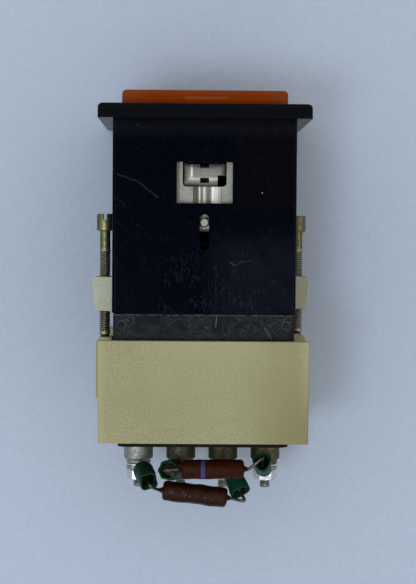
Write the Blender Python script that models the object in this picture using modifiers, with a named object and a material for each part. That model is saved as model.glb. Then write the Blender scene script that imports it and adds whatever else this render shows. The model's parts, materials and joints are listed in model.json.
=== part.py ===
"""Panel push-button with a lamp, screw terminals and a clamp frame.

The panel's front plane is Y = 0: the cap and bezel look along -Y, the terminals along +Y, and +Z is up.
Lengths are in metres.
"""

import math

import bmesh
import bpy
from mathutils import Matrix, Vector

MM = 0.001

# Clearances
SEAT = 0.3 * MM
STACK = 0.1 * MM
RUN = 0.1 * MM

# Housing: bezel and sleeve
BEZEL = 52.0 * MM
BEZEL_DEPTH = 3.6 * MM
BEZEL_EDGE = 1.0 * MM
BEZEL_CORNER = 1.6 * MM
SLEEVE = 44.9 * MM
SLEEVE_CORNER = 0.9 * MM
SLEEVE_LENGTH = 47.3 * MM
SLEEVE_WALL = 1.85 * MM
WINDOW_WIDTH = 13.6 * MM
WINDOW_START = 10.4 * MM
WINDOW_LENGTH = 10.0 * MM
SLOT_WIDTH = 2.3 * MM
SLOT_START = 23.1 * MM
SLOT_LENGTH = 8.8 * MM

# Cap
CAP_PROJECTION = 3.65 * MM
CAP_DEPTH = 12.0 * MM
CAP_WALL = 1.8 * MM
CAP_EDGE = 1.0 * MM
CAP_CORNER = 1.2 * MM

# Lamp carriage, a bent strip with a lip at each front end
TRAVEL = 5.0 * MM
SHEET = 0.8 * MM
CARRIAGE_WIDTH = 32.0 * MM
CARRIAGE_DROP = 0.85 * MM
CARRIAGE_REAR = 27.4 * MM
LIP_HEIGHT = 4.2 * MM
BEND = 1.2 * MM
YOKE_WIDTH = 10.8 * MM
YOKE_END = 16.3 * MM
YOKE_START = 7.2 * MM
YOKE_CORNER = 0.9 * MM
FLUTE_RADIUS = 5.0 * MM
FLUTE_DEPTH = 1.4 * MM
FLUTE_SHIFT = -0.7 * MM
FLUTE_LENGTH = 5.2 * MM
PIN_RADIUS = 1.07 * MM
PIN_SETBACK = 2.3 * MM
PIN_BELOW_FACE = 0.5 * MM

# Lamp and its bracket
SOCKET_RADIUS = 5.5 * MM
SOCKET_WALL = 0.7 * MM
SOCKET_LENGTH = 14.3 * MM
SOCKET_FLANGE = 7.5 * MM
SOCKET_FLANGE_DEPTH = 1.0 * MM
LAMP_BASE_LENGTH = 12.2 * MM
LAMP_GLASS_LENGTH = 13.0 * MM
BRACKET_GAP = 0.2 * MM
BRACKET_LENGTH = 5.7 * MM
BRACKET_DROP = 1.0 * MM
BRACKET_EDGE = 1.6 * MM
BRACKET_SHEET = 0.7 * MM
BRACKET_NOTCH = 2.1 * MM
BRACKET_NOTCH_DEPTH = 1.2 * MM
BRACKET_HOLE_LENGTH = 1.2 * MM
BRACKET_HOLE_SETBACK = 2.1 * MM
BRACKET_CORNER_WIDTH = 2.1 * MM
BRACKET_CORNER_LENGTH = 2.7 * MM

# Plunger, spring and moving contact
PLUNGER_RADIUS = 4.0 * MM
PLUNGER_COLLAR = 7.0 * MM
PLUNGER_COLLAR_DEPTH = 1.5 * MM
PLUNGER_TIP = 1.5 * MM
SPRING_RADIUS = 5.6 * MM
SPRING_WIRE = 0.45 * MM
SPRING_TURNS = 5
BRIDGE_HEIGHT = 7.0 * MM
BRIDGE_SHEET = 0.8 * MM
CONTACT_RADIUS = 2.0 * MM
CONTACT_DEPTH = 0.6 * MM

# Guide plate and rear base
PLATE_DEPTH = 2.0 * MM
LIP_OVERLAP = 4.3 * MM
BASE = 44.3 * MM
BASE_WALL = 3.3 * MM
BASE_LENGTH = 29.4 * MM
BASE_STEP = 42.0 * MM
BASE_STEP_DEPTH = 3.2 * MM
BASE_STEP_CORNER = 2.5 * MM
BASE_FLOOR = 4.2 * MM
MARK_RADIUS = 0.95 * MM
MARK_DEPTH = 0.3 * MM
MARK_SETBACK = 2.9 * MM
MARK_SPACING = 40.0 * MM

# Terminals, in one row across the base
TERMINAL_PITCH = 10.9 * MM
TERMINALS = 4
POST_RADIUS = 3.75 * MM
POST_NECK = 3.15 * MM
POST_LENGTH = 6.5 * MM
POST_NECK_LENGTH = 0.8 * MM
STUD_RADIUS = 1.3 * MM
STUD_HEAD_RADIUS = 2.2 * MM
STUD_HEAD_DEPTH = 2.4 * MM
STUD_PAST_NUT = 2.0 * MM
WASHER_RADIUS = 3.1 * MM
WASHER_DEPTH = 0.5 * MM
NUT_FLATS = 5.3 * MM
NUT_DEPTH = 2.6 * MM

# Ring lugs with their sleeves
LUG_RADIUS = 3.1 * MM
LUG_SHEET = 0.8 * MM
LUG_NECK = 5.2 * MM
LUG_NECK_WIDTH = 2.6 * MM
BARREL_RADIUS = 1.5 * MM
BARREL_BORE = 0.8 * MM
BARREL_LENGTH = 6.6 * MM
BARREL_BORE_DEPTH = 5.0 * MM
SLEEVE_LIFT = 0.6 * MM
LUG_SLEEVE_RADIUS = 2.65 * MM
LUG_SLEEVE_LENGTH = 7.4 * MM
# Each lug's roll from vertical towards +X, and its bend towards the rear, in degrees
LUG_AIMS = [(-13.0, 14.5), (14.0, -7.0), (-22.0, 38.0), (6.0, -24.0)]

# Resistors across the terminals
RESISTOR_RADIUS = 2.42 * MM
RESISTOR_LENGTH = 15.6 * MM
RESISTOR_ROUND = 0.9 * MM
RESISTOR_WAIST = 0.08 * MM
LEAD_RADIUS = 0.4 * MM
LEAD_RISE = 2.8 * MM
LEAD_INSERT = 3.0 * MM
LEAD_STUB = 0.9 * MM
UPPER_SHIFT = -2.6 * MM
UPPER_SETBACK = 0.55 * MM
UPPER_RISE = 15.2 * MM
UPPER_TURN = 0.5
LOWER_SHIFT = 1.8 * MM
LOWER_SETBACK = 6.4 * MM
LOWER_RISE = 11.0 * MM
LOWER_TURN = -6.6
LOWER_GROWTH = 1.05

# Clamp collar
COLLAR_WALL = 2.95 * MM
COLLAR_TAPER = 0.25 * MM
COLLAR_START = 53.9 * MM
COLLAR_LENGTH = 24.9 * MM
COLLAR_CLEARANCE = 0.35 * MM
COLLAR_EDGE = 0.4 * MM
NOTCH_DEPTH = 3.0 * MM
BOSS_HEIGHT = 8.0 * MM
BOSS_WALL = 2.0 * MM
BOSS_LENGTH = 16.0 * MM
BOSS_CHAMFER = 1.0 * MM

# Clamp screws and blocks
SCREW_GAP = 0.25 * MM
SCREW_RISE = 8.3 * MM
SCREW_HEAD_RADIUS = 2.1 * MM
SCREW_HEAD_DEPTH = 4.2 * MM
SCREW_HEAD_START = 23.0 * MM
SCREW_SHANK_RADIUS = 1.3 * MM
SCREW_SHANK_LENGTH = 4.7 * MM
SCREW_THREAD_RADIUS = 1.45 * MM
SCREW_DOG_RADIUS = 1.1 * MM
SCREW_DOG_LENGTH = 3.6 * MM
SCREW_TAPER = 0.7 * MM
SCREW_SLOT_WIDTH = 0.83 * MM
SCREW_SLOT_DEPTH = 1.5 * MM
SCREW_TURNS = {"left": 0.0, "right": 55.0}
BLOCK_START = 38.8 * MM
BLOCK_LENGTH = 8.5 * MM
BLOCK_HEIGHT = 8.4 * MM
BLOCK_WALL = 2.8 * MM
BLOCK_STRAIGHT = 3.6 * MM
BLOCK_TAPER = 0.55 * MM
BLOCK_EDGE = 0.6 * MM

# Derived places
BORE = SLEEVE - 2 * SLEEVE_WALL
CAP = BORE - 2 * SEAT
CAP_FRONT = -BEZEL_DEPTH - CAP_PROJECTION
CAP_REAR = CAP_FRONT + CAP_DEPTH
CARRIAGE_FRONT = CAP_REAR + SEAT
CARRIAGE_TOP = BORE / 2 - CARRIAGE_DROP
PIN_Y = CARRIAGE_REAR - PIN_SETBACK
SOCKET_REAR = CARRIAGE_REAR - SHEET - SEAT
PLUNGER_FRONT = CARRIAGE_REAR + SEAT
BASE_FRONT = SLEEVE_LENGTH + SEAT
LIP_FRONT = BASE_FRONT - LIP_OVERLAP
PLATE_REAR = LIP_FRONT - SEAT
PLATE_FRONT = PLATE_REAR - PLATE_DEPTH
BASE_REAR = BASE_FRONT + BASE_LENGTH + BASE_STEP_DEPTH
FLOOR_FRONT = BASE_REAR - BASE_FLOOR
STUD_HEAD_REAR = FLOOR_FRONT - SEAT
STUD_HEAD_FRONT = STUD_HEAD_REAR - STUD_HEAD_DEPTH
CONTACT_REAR = STUD_HEAD_FRONT - SEAT - TRAVEL
BRIDGE_REAR = CONTACT_REAR - CONTACT_DEPTH
BRIDGE_FRONT = BRIDGE_REAR - BRIDGE_SHEET
PLUNGER_REAR = BRIDGE_FRONT - SEAT
POST_FRONT = BASE_REAR + SEAT
POST_REAR = POST_FRONT + POST_LENGTH
WASHER_FRONT = POST_REAR + STACK
LUG_FRONT = WASHER_FRONT + WASHER_DEPTH + STACK
NUT_FRONT = LUG_FRONT + LUG_SHEET + STACK
NUT_REAR = NUT_FRONT + NUT_DEPTH
STUD_REAR = NUT_REAR + STUD_PAST_NUT
HOLE_RADIUS = STUD_RADIUS + 2 * RUN
COLLAR_BORE = SLEEVE + 2 * COLLAR_CLEARANCE
COLLAR = COLLAR_BORE + 2 * COLLAR_WALL
SCREW_OUT = SLEEVE / 2 + SCREW_GAP + SCREW_HEAD_RADIUS
BOSS_OUT = SCREW_OUT + BOSS_WALL
BLOCK_IN = SLEEVE / 2 + SEAT
BLOCK_OUT = SCREW_OUT + BLOCK_WALL

ROUND = 30
SMALL_ROUND = 20

for old in list(bpy.data.objects):
    bpy.data.objects.remove(old, do_unlink=True)
parts = bpy.data.collections.new("panel_push_button")
cutters = bpy.data.collections.new("cutters")
bpy.context.scene.collection.children.link(parts)
bpy.context.scene.collection.children.link(cutters)

# Turns of an outline's own X, Y plane into the plane it is drawn in
PLANES = {
    "XY": Matrix.Identity(3),
    "XZ": Matrix(((1, 0, 0), (0, 0, -1), (0, 1, 0))),
    "YZ": Matrix(((0, 0, 1), (1, 0, 0), (0, 1, 0))),
}
# Turn of a lathe's axis from Z to Y
AXIS_Y = Matrix.Rotation(-math.pi / 2, 3, "X")


def material(name, colour, roughness, metallic=0.0):
    made = bpy.data.materials.new(name)
    made.use_nodes = True
    shader = made.node_tree.nodes["Principled BSDF"]
    shader.inputs["Base Color"].default_value = (*colour, 1.0)
    shader.inputs["Roughness"].default_value = roughness
    shader.inputs["Metallic"].default_value = metallic
    return made


BLACK = material("black_plastic", (0.012, 0.013, 0.018), 0.35)
GREY = material("grey_plastic", (0.035, 0.037, 0.042), 0.5)
BOARD = material("board", (0.35, 0.2, 0.09), 0.6)
ORANGE = material("orange_lens", (0.72, 0.2, 0.02), 0.2)
NICKEL = material("nickel", (0.62, 0.6, 0.55), 0.28, 1.0)
GLASS = material("lamp_glass", (0.9, 0.9, 0.88), 0.05)
STEEL = material("steel", (0.5, 0.5, 0.48), 0.4, 1.0)
BRASS = material("brass", (0.55, 0.42, 0.18), 0.35, 1.0)
CREAM = material("cream_plastic", (0.6, 0.55, 0.36), 0.6)
PALE = material("pale_plastic", (0.66, 0.65, 0.52), 0.55)
YELLOW_ZINC = material("yellow_zinc", (0.45, 0.4, 0.22), 0.35, 1.0)
GREEN = material("green_sleeve", (0.01, 0.12, 0.06), 0.45)
ENAMEL = material("brown_enamel", (0.16, 0.035, 0.018), 0.2)
TIN = material("tinned_wire", (0.55, 0.53, 0.48), 0.3, 1.0)


def place(mesh, name, surface=None, at=(0, 0, 0), turn=Matrix.Identity(3)):
    """Put a mesh in the scene, as a part when it has a surface and as a cutter when it has none."""
    made = bpy.data.objects.new(name, mesh)
    made.matrix_world = Matrix.Translation(at) @ turn.to_4x4()
    if surface:
        parts.objects.link(made)
        mesh.materials.append(surface)
        mesh.shade_smooth()
        mesh.set_sharp_from_angle(angle=math.radians(35))
    else:
        cutters.objects.link(made)
        made.hide_render = True
        made.display_type = "WIRE"
    return made


def mesh_of(curve, name):
    """Turn a curve into a closed mesh, with its caps welded on."""
    drawn = bpy.data.objects.new(name, curve)
    cutters.objects.link(drawn)
    evaluated = drawn.evaluated_get(bpy.context.evaluated_depsgraph_get())
    mesh = bpy.data.meshes.new_from_object(evaluated)
    shell = bmesh.new()
    shell.from_mesh(mesh)
    bmesh.ops.remove_doubles(shell, verts=shell.verts, dist=1e-7)
    bmesh.ops.recalc_face_normals(shell, faces=shell.faces)
    shell.to_mesh(mesh)
    shell.free()
    mesh.name = name
    bpy.data.objects.remove(drawn, do_unlink=True)
    return mesh


def rounded(corners, steps=4):
    """Round an outline's corners, each given as x, y and its radius."""
    points = []
    count = len(corners)
    for index, (x, y, radius) in enumerate(corners):
        here = Vector((x, y))
        before = (Vector(corners[index - 1][:2]) - here).normalized()
        after = (Vector(corners[(index + 1) % count][:2]) - here).normalized()
        half = before.angle(after) / 2
        if radius == 0:
            points.append(here)
            continue
        reach = radius / math.tan(half)
        centre = here + (before + after).normalized() * radius / math.sin(half)
        first = here + before * reach - centre
        last = here + after * reach - centre
        sweep = first.angle_signed(last)
        for step in range(steps + 1):
            turned = first.copy()
            turned.rotate(Matrix.Rotation(-sweep * step / steps, 2))
            points.append(centre + turned)
    return points


def square(width, corner, height=None):
    """A centred rectangle's outline, with round corners."""
    x = width / 2
    y = (height or width) / 2
    return rounded([(-x, -y, corner), (x, -y, corner), (x, y, corner), (-x, y, corner)])


def prism(name, outline, plane, low, high):
    """A mesh of an outline that is drawn in a plane and extruded from low to high across it."""
    curve = bpy.data.curves.new(name, "CURVE")
    curve.dimensions = "2D"
    curve.fill_mode = "BOTH"
    curve.extrude = (high - low) / 2
    spline = curve.splines.new("POLY")
    spline.points.add(len(outline) - 1)
    for point, corner in zip(spline.points, outline):
        point.co = (corner[0], corner[1], 0, 1)
    spline.use_cyclic_u = True
    mesh = mesh_of(curve, name)
    turn = PLANES[plane]
    across = turn @ Vector((0, 0, 1))
    middle = (low + high) / 2
    # The XZ plane's normal looks along -Y, so its middle is measured the other way
    shift = across * (-middle if plane == "XZ" else middle)
    mesh.transform(Matrix.Translation(shift) @ turn.to_4x4())
    return mesh


def box(name, low, high):
    shell = bmesh.new()
    bmesh.ops.create_cube(shell, size=1.0)
    size = Vector(high) - Vector(low)
    bmesh.ops.scale(shell, vec=size, verts=shell.verts)
    bmesh.ops.translate(shell, vec=(Vector(high) + Vector(low)) / 2, verts=shell.verts)
    mesh = bpy.data.meshes.new(name)
    shell.to_mesh(mesh)
    shell.free()
    return mesh


def bevel(mesh, width, steps, wanted):
    """Round the edges of a mesh whose two ends are both wanted."""
    shell = bmesh.new()
    shell.from_mesh(mesh)
    edges = [edge for edge in shell.edges if all(wanted(vert.co) for vert in edge.verts)]
    edges = [edge for edge in edges if edge.calc_face_angle(0) > math.radians(30)]
    bmesh.ops.bevel(shell, geom=edges, offset=width, segments=steps, affect="EDGES", profile=0.5)
    shell.to_mesh(mesh)
    shell.free()
    return mesh


def lathe(name, profile, steps=ROUND, closed=False):
    """Turn a profile of radius and height round Z. It runs down its outer side, top to bottom."""
    mesh = bpy.data.meshes.new(name)
    points = [(radius, 0, height) for radius, height in profile]
    edges = [(index, index + 1) for index in range(len(points) - 1)]
    if closed:
        edges.append((len(points) - 1, 0))
    mesh.from_pydata(points, edges, [])
    turned = bpy.data.objects.new(name, mesh)
    cutters.objects.link(turned)
    screw = turned.modifiers.new("turn", "SCREW")
    screw.steps = steps
    screw.render_steps = steps
    screw.use_merge_vertices = True
    screw.merge_threshold = 1e-6
    evaluated = turned.evaluated_get(bpy.context.evaluated_depsgraph_get())
    made = bpy.data.meshes.new_from_object(evaluated)
    made.name = name
    bpy.data.objects.remove(turned, do_unlink=True)
    return made


def along_y(name, profile, steps=ROUND, closed=False):
    """Turn a profile of radius and Y round the Y axis. It runs from its rear end to its front end."""
    mesh = lathe(name, profile, steps, closed)
    mesh.transform(AXIS_Y.to_4x4())
    return mesh


def rod(name, radius, front, rear, steps=ROUND):
    return along_y(name, [(0, rear), (radius, rear), (radius, front), (0, front)], steps)


def tube(name, outer, inner, front, rear, steps=ROUND):
    return along_y(name, [(outer, rear), (outer, front), (inner, front), (inner, rear)], steps, True)


def combine(part, mesh, operation, at=(0, 0, 0), turn=Matrix.Identity(3)):
    """Cut a mesh out of a part, or join it on."""
    tool = place(mesh, f"{part.name}_{mesh.name}", None, at, turn)
    change = part.modifiers.new(mesh.name, "BOOLEAN")
    change.operation = operation
    change.object = tool
    change.solver = "EXACT"
    return tool


def cut(part, mesh, **where):
    return combine(part, mesh, "DIFFERENCE", **where)


def join(part, mesh, **where):
    return combine(part, mesh, "UNION", **where)


def arc(centre, radius, start, end, steps):
    """Points of an arc between two angles in degrees."""
    angles = [math.radians(start + (end - start) * step / steps) for step in range(steps + 1)]
    x, y = centre
    return [(x + radius * math.cos(angle), y + radius * math.sin(angle)) for angle in angles]


def empty(name, at, turn=Matrix.Identity(3)):
    made = bpy.data.objects.new(name, None)
    made.matrix_world = Matrix.Translation(at) @ turn.to_4x4()
    parts.objects.link(made)
    return made


def hang(part, parent):
    """Parent a part and keep its place."""
    part.parent = parent
    part.matrix_parent_inverse = parent.matrix_world.inverted()


def housing():
    bezel = prism("bezel", square(BEZEL, BEZEL_CORNER), "XZ", -BEZEL_DEPTH, 0)
    bevel(bezel, BEZEL_EDGE, 3, lambda point: point.y < -BEZEL_DEPTH + SEAT)
    made = place(bezel, "housing", BLACK)
    overlap = BEZEL_DEPTH / 2
    join(made, prism("sleeve", square(SLEEVE, SLEEVE_CORNER), "XZ", -overlap, SLEEVE_LENGTH))
    bore = square(BORE, SLEEVE_CORNER)
    cut(made, prism("bore", bore, "XZ", -2 * BEZEL_DEPTH, SLEEVE_LENGTH + BEZEL_DEPTH))
    half = WINDOW_WIDTH / 2
    low = BORE / 2 - SLEEVE_WALL
    high = SLEEVE / 2 + SLEEVE_WALL
    cut(made, box("window", (-half, WINDOW_START, low), (half, WINDOW_START + WINDOW_LENGTH, high)))
    radius = SLOT_WIDTH / 2
    front = arc((0, SLOT_START + radius), radius, 180, 360, 8)
    rear = arc((0, SLOT_START + SLOT_LENGTH - radius), radius, 0, 180, 8)
    cut(made, prism("slot", front + rear, "XY", low, high))
    return made


def lens_cap():
    shell = prism("cap", square(CAP, CAP_CORNER), "XZ", CAP_FRONT, CAP_REAR)
    bevel(shell, CAP_EDGE, 3, lambda point: point.y < CAP_FRONT + SEAT)
    made = place(shell, "lens_cap", ORANGE)
    inside = square(CAP - 2 * CAP_WALL, CAP_CORNER)
    cut(made, prism("inside", inside, "XZ", CAP_FRONT + CAP_WALL, CAP_REAR + CAP_WALL))
    return made


def lamp_carriage():
    top = CARRIAGE_TOP
    lip = top - LIP_HEIGHT
    front = CARRIAGE_FRONT
    rear = CARRIAGE_REAR
    inner_bend = BEND - SHEET
    outside = [(front, lip, 0), (front, top, BEND), (rear, top, BEND)]
    outside += [(rear, -top, BEND), (front, -top, BEND), (front, -lip, 0)]
    front += SHEET
    rear -= SHEET
    top -= SHEET
    inside = [(front, -lip, 0), (front, -top, inner_bend), (rear, -top, inner_bend)]
    inside += [(rear, top, inner_bend), (front, top, inner_bend), (front, lip, 0)]
    half = CARRIAGE_WIDTH / 2
    made = place(prism("strip", rounded(outside + inside), "YZ", -half, half), "lamp_carriage", NICKEL)

    # A pressed flute runs back from the yoke
    centre = (FLUTE_SHIFT, CARRIAGE_TOP + FLUTE_RADIUS - FLUTE_DEPTH)
    outer = FLUTE_RADIUS + SHEET
    flute_end = YOKE_END + FLUTE_LENGTH
    reach = math.degrees(math.acos((FLUTE_RADIUS - FLUTE_DEPTH + SHEET / 2) / outer))
    trough = arc(centre, outer, -90 - reach, -90 + reach, 12)
    join(made, prism("trough", trough, "XZ", YOKE_END - SHEET, flute_end))
    cut(made, rod("flute", FLUTE_RADIUS, YOKE_END - SHEET, flute_end), at=(FLUTE_SHIFT, 0, centre[1]))

    yoke = YOKE_WIDTH / 2
    corners = [(-yoke, YOKE_START, YOKE_CORNER), (yoke, YOKE_START, YOKE_CORNER)]
    corners += [(yoke, YOKE_END, YOKE_CORNER), (-yoke, YOKE_END, YOKE_CORNER)]
    cut(made, prism("yoke", rounded(corners), "XY", CARRIAGE_TOP - 5 * SHEET, CARRIAGE_TOP + SHEET))
    radius = PIN_RADIUS + RUN
    hole = lathe("pin_hole", [(0, SHEET), (radius, SHEET), (radius, -2 * SHEET), (0, -2 * SHEET)])
    cut(made, hole, at=(0, PIN_Y, CARRIAGE_TOP))
    cut(made, rod("contact_hole", SOCKET_RADIUS / 2, CARRIAGE_REAR - 3 * SHEET, CARRIAGE_REAR + SHEET))
    return made


def guide_pin():
    top = SLEEVE / 2 - PIN_BELOW_FACE
    bottom = CARRIAGE_TOP - 2 * SHEET
    edge = PIN_RADIUS / 5
    profile = [(0, top), (PIN_RADIUS - edge, top), (PIN_RADIUS, top - edge)]
    profile += [(PIN_RADIUS, bottom), (0, bottom)]
    return place(lathe("pin", profile, SMALL_ROUND), "guide_pin", NICKEL, (0, PIN_Y, 0))


def lamp_bracket():
    half = YOKE_WIDTH / 2 - BRACKET_GAP
    top = CARRIAGE_TOP - BRACKET_DROP
    low = SOCKET_RADIUS + SEAT
    rear = YOKE_END - BRACKET_GAP
    front = rear - BRACKET_LENGTH
    shell = box("cup", (-half, front, low), (half, rear, top))
    bevel(shell, BRACKET_EDGE, 4, lambda point: point.z > top - SEAT and point.y > rear - SEAT)
    bevel(shell, BRACKET_EDGE, 4, lambda point: point.z > top - SEAT and abs(point.x) > half - SEAT)
    made = place(shell, "lamp_bracket", NICKEL)
    inner = half - BRACKET_SHEET
    past = BRACKET_EDGE
    inner_rear = rear - BRACKET_SHEET
    inner_top = top - BRACKET_SHEET
    inside = box("inside", (-inner, front - past, low - past), (inner, inner_rear, inner_top))
    bend = BRACKET_EDGE - BRACKET_SHEET
    ceiling = inner_top - SEAT
    bevel(inside, bend, 4, lambda point: point.z > ceiling and point.y > inner_rear - SEAT)
    bevel(inside, bend, 4, lambda point: point.z > ceiling and abs(point.x) > inner - SEAT)
    cut(made, inside)
    notch = BRACKET_NOTCH / 2
    notch_end = front + BRACKET_NOTCH_DEPTH
    cut(made, box("notch", (-notch, front - past, top - past), (notch, notch_end, top + past)))
    hole_front = rear - BRACKET_HOLE_SETBACK
    hole_rear = hole_front + BRACKET_HOLE_LENGTH
    cut(made, box("hole", (-notch, hole_front, top - past), (notch, hole_rear, top + past)))
    corner_low = (-half - past, rear - BRACKET_CORNER_LENGTH, low - past)
    corner_high = (BRACKET_CORNER_WIDTH - half, rear + past, top + past)
    cut(made, box("corner", corner_low, corner_high))
    return made


def lamp_socket():
    outer = SOCKET_RADIUS
    inner = SOCKET_RADIUS - SOCKET_WALL
    front = SOCKET_REAR - SOCKET_LENGTH
    step = SOCKET_REAR - SOCKET_FLANGE_DEPTH
    profile = [(SOCKET_FLANGE, SOCKET_REAR), (SOCKET_FLANGE, step), (outer, step), (outer, front)]
    profile += [(inner, front), (inner, SOCKET_REAR)]
    return place(along_y("socket", profile, closed=True), "lamp_socket", NICKEL)


def lamp():
    radius = SOCKET_RADIUS - SOCKET_WALL - SEAT
    rear = SOCKET_REAR - SOCKET_FLANGE_DEPTH
    front = rear - LAMP_BASE_LENGTH
    tip = radius / 2
    profile = [(0, rear), (tip, rear), (radius, rear - tip), (radius, front), (0, front)]
    base = place(along_y("base", profile), "lamp_base", BRASS)
    foot = front - SEAT
    nose = foot - LAMP_GLASS_LENGTH + radius
    dome = arc((0, 0), radius, 0, 90, 8)
    profile = [(0, foot), (radius, foot)] + [(x, nose - y) for x, y in dome[:-1]] + [(0, nose - radius)]
    glass = place(along_y("glass", profile), "lamp_glass", GLASS)
    return [base, glass]


def plunger():
    collar_rear = PLUNGER_FRONT + PLUNGER_COLLAR_DEPTH
    tip_rear = CONTACT_REAR
    profile = [(0, tip_rear), (PLUNGER_TIP, tip_rear), (PLUNGER_TIP, PLUNGER_REAR)]
    profile += [(PLUNGER_RADIUS, PLUNGER_REAR), (PLUNGER_RADIUS, collar_rear)]
    profile += [(PLUNGER_COLLAR, collar_rear), (PLUNGER_COLLAR, PLUNGER_FRONT), (0, PLUNGER_FRONT)]
    return place(along_y("rod", profile), "plunger", GREY)


def contact_bridge():
    contact_x = TERMINAL_PITCH * (TERMINALS - 1) / 2
    half = contact_x + CONTACT_RADIUS
    side = BRIDGE_HEIGHT / 2
    outline = square(2 * half, side / 2, 2 * side)
    made = place(prism("bar", outline, "XZ", BRIDGE_FRONT, BRIDGE_REAR), "contact_bridge", BRASS)
    for x in (-contact_x, contact_x):
        root = BRIDGE_REAR - BRIDGE_SHEET / 2
        contact = rod("contact", CONTACT_RADIUS / 2, root, CONTACT_REAR, SMALL_ROUND)
        join(made, contact, at=(x, 0, 0))
    cut(made, rod("hole", PLUNGER_TIP + RUN, BRIDGE_FRONT - BRIDGE_SHEET, CONTACT_REAR))
    return made


def return_spring():
    front = PLUNGER_FRONT + PLUNGER_COLLAR_DEPTH + SEAT + SPRING_WIRE
    rear = PLATE_FRONT - SEAT - SPRING_WIRE
    around = 10
    count = SPRING_TURNS * around
    curve = bpy.data.curves.new("coil", "CURVE")
    curve.dimensions = "3D"
    curve.bevel_depth = SPRING_WIRE
    curve.bevel_resolution = 1
    curve.use_fill_caps = True
    spline = curve.splines.new("POLY")
    spline.points.add(count)
    for step in range(count + 1):
        angle = 2 * math.pi * step / around
        y = front + (rear - front) * step / count
        spline.points[step].co = (SPRING_RADIUS * math.cos(angle), y, SPRING_RADIUS * math.sin(angle), 1)
    print("least gap between spring turns", (rear - front) / SPRING_TURNS - 2 * SPRING_WIRE)
    return place(mesh_of(curve, "coil"), "return_spring", STEEL)


def guide_plate():
    plate = prism("plate", square(CAP, SLEEVE_CORNER), "XZ", PLATE_FRONT, PLATE_REAR)
    made = place(plate, "guide_plate", BOARD)
    cut(made, rod("hole", PLUNGER_RADIUS + SEAT, PLATE_FRONT - PLATE_DEPTH, PLATE_REAR + PLATE_DEPTH))
    return made


def terminal_places():
    first = TERMINAL_PITCH * (TERMINALS - 1) / 2
    return [first - TERMINAL_PITCH * index for index in range(TERMINALS)]


def rear_base():
    block_rear = BASE_FRONT + BASE_LENGTH
    block = prism("block", square(BASE, SLEEVE_CORNER), "XZ", BASE_FRONT, block_rear)
    made = place(block, "rear_base", GREY)
    step = square(BASE_STEP, BASE_STEP_CORNER)
    join(made, prism("step", step, "XZ", block_rear - BASE_STEP_DEPTH, BASE_REAR))
    join(made, prism("lip", square(CAP, SLEEVE_CORNER), "XZ", LIP_FRONT, BASE_FRONT + LIP_OVERLAP))
    inside = square(BASE - 2 * BASE_WALL, SLEEVE_CORNER)
    cut(made, prism("inside", inside, "XZ", LIP_FRONT - LIP_OVERLAP, FLOOR_FRONT))
    for x in terminal_places():
        hole = rod("hole", HOLE_RADIUS, FLOOR_FRONT - BASE_FLOOR, BASE_REAR + BASE_FLOOR, SMALL_ROUND)
        cut(made, hole, at=(x, 0, 0))
    for side in (-1, 1):
        mark = [(0, MARK_DEPTH), (MARK_RADIUS, MARK_DEPTH), (MARK_RADIUS, -MARK_DEPTH), (0, -MARK_DEPTH)]
        place_of_mark = (side * MARK_SPACING / 2, BASE_FRONT + MARK_SETBACK, BASE / 2)
        cut(made, lathe("mark", mark, SMALL_ROUND), at=place_of_mark)
    return made


def terminal_post(name, x):
    shoulder = POST_REAR - POST_NECK_LENGTH
    slope = POST_RADIUS - POST_NECK
    profile = [(POST_NECK, POST_REAR), (POST_NECK, shoulder), (POST_RADIUS, shoulder - slope)]
    profile += [(POST_RADIUS, POST_FRONT), (HOLE_RADIUS, POST_FRONT), (HOLE_RADIUS, POST_REAR)]
    return place(along_y("post", profile, closed=True), name, STEEL, (x, 0, 0))


def terminal_stud(name, x):
    edge = STUD_RADIUS / 4
    profile = [(0, STUD_REAR), (STUD_RADIUS - edge, STUD_REAR), (STUD_RADIUS, STUD_REAR - edge)]
    profile += [(STUD_RADIUS, STUD_HEAD_REAR), (STUD_HEAD_RADIUS, STUD_HEAD_REAR)]
    profile += [(STUD_HEAD_RADIUS, STUD_HEAD_FRONT), (0, STUD_HEAD_FRONT)]
    return place(along_y("stud", profile, SMALL_ROUND), name, STEEL, (x, 0, 0))


def terminal_washer(name, x):
    rear = WASHER_FRONT + WASHER_DEPTH
    washer = tube("washer", WASHER_RADIUS, HOLE_RADIUS, WASHER_FRONT, rear, SMALL_ROUND)
    return place(washer, name, STEEL, (x, 0, 0))


def terminal_nut(name, x):
    corner = NUT_FLATS / 2 / math.cos(math.pi / 6)
    outline = arc((0, 0), corner, 0, 300, 5)
    made = place(prism("nut", outline, "XZ", NUT_FRONT, NUT_REAR), name, STEEL, (x, 0, 0))
    hole = rod("hole", HOLE_RADIUS, NUT_FRONT - NUT_DEPTH, NUT_REAR + NUT_DEPTH, SMALL_ROUND)
    cut(made, hole, at=(x, 0, 0))
    return made


def lug_frame(index):
    """The lug's neck end, its barrel's direction and the turn of Y onto that direction."""
    roll, bend = LUG_AIMS[index]
    up = Vector((math.sin(math.radians(roll)), 0, math.cos(math.radians(roll))))
    aim = up * math.cos(math.radians(bend)) + Vector((0, math.sin(math.radians(bend)), 0))
    centre = Vector((terminal_places()[index], LUG_FRONT + LUG_SHEET / 2, 0))
    turn = Vector((0, 1, 0)).rotation_difference(aim).to_matrix()
    return centre + up * LUG_NECK, aim, turn


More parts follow.
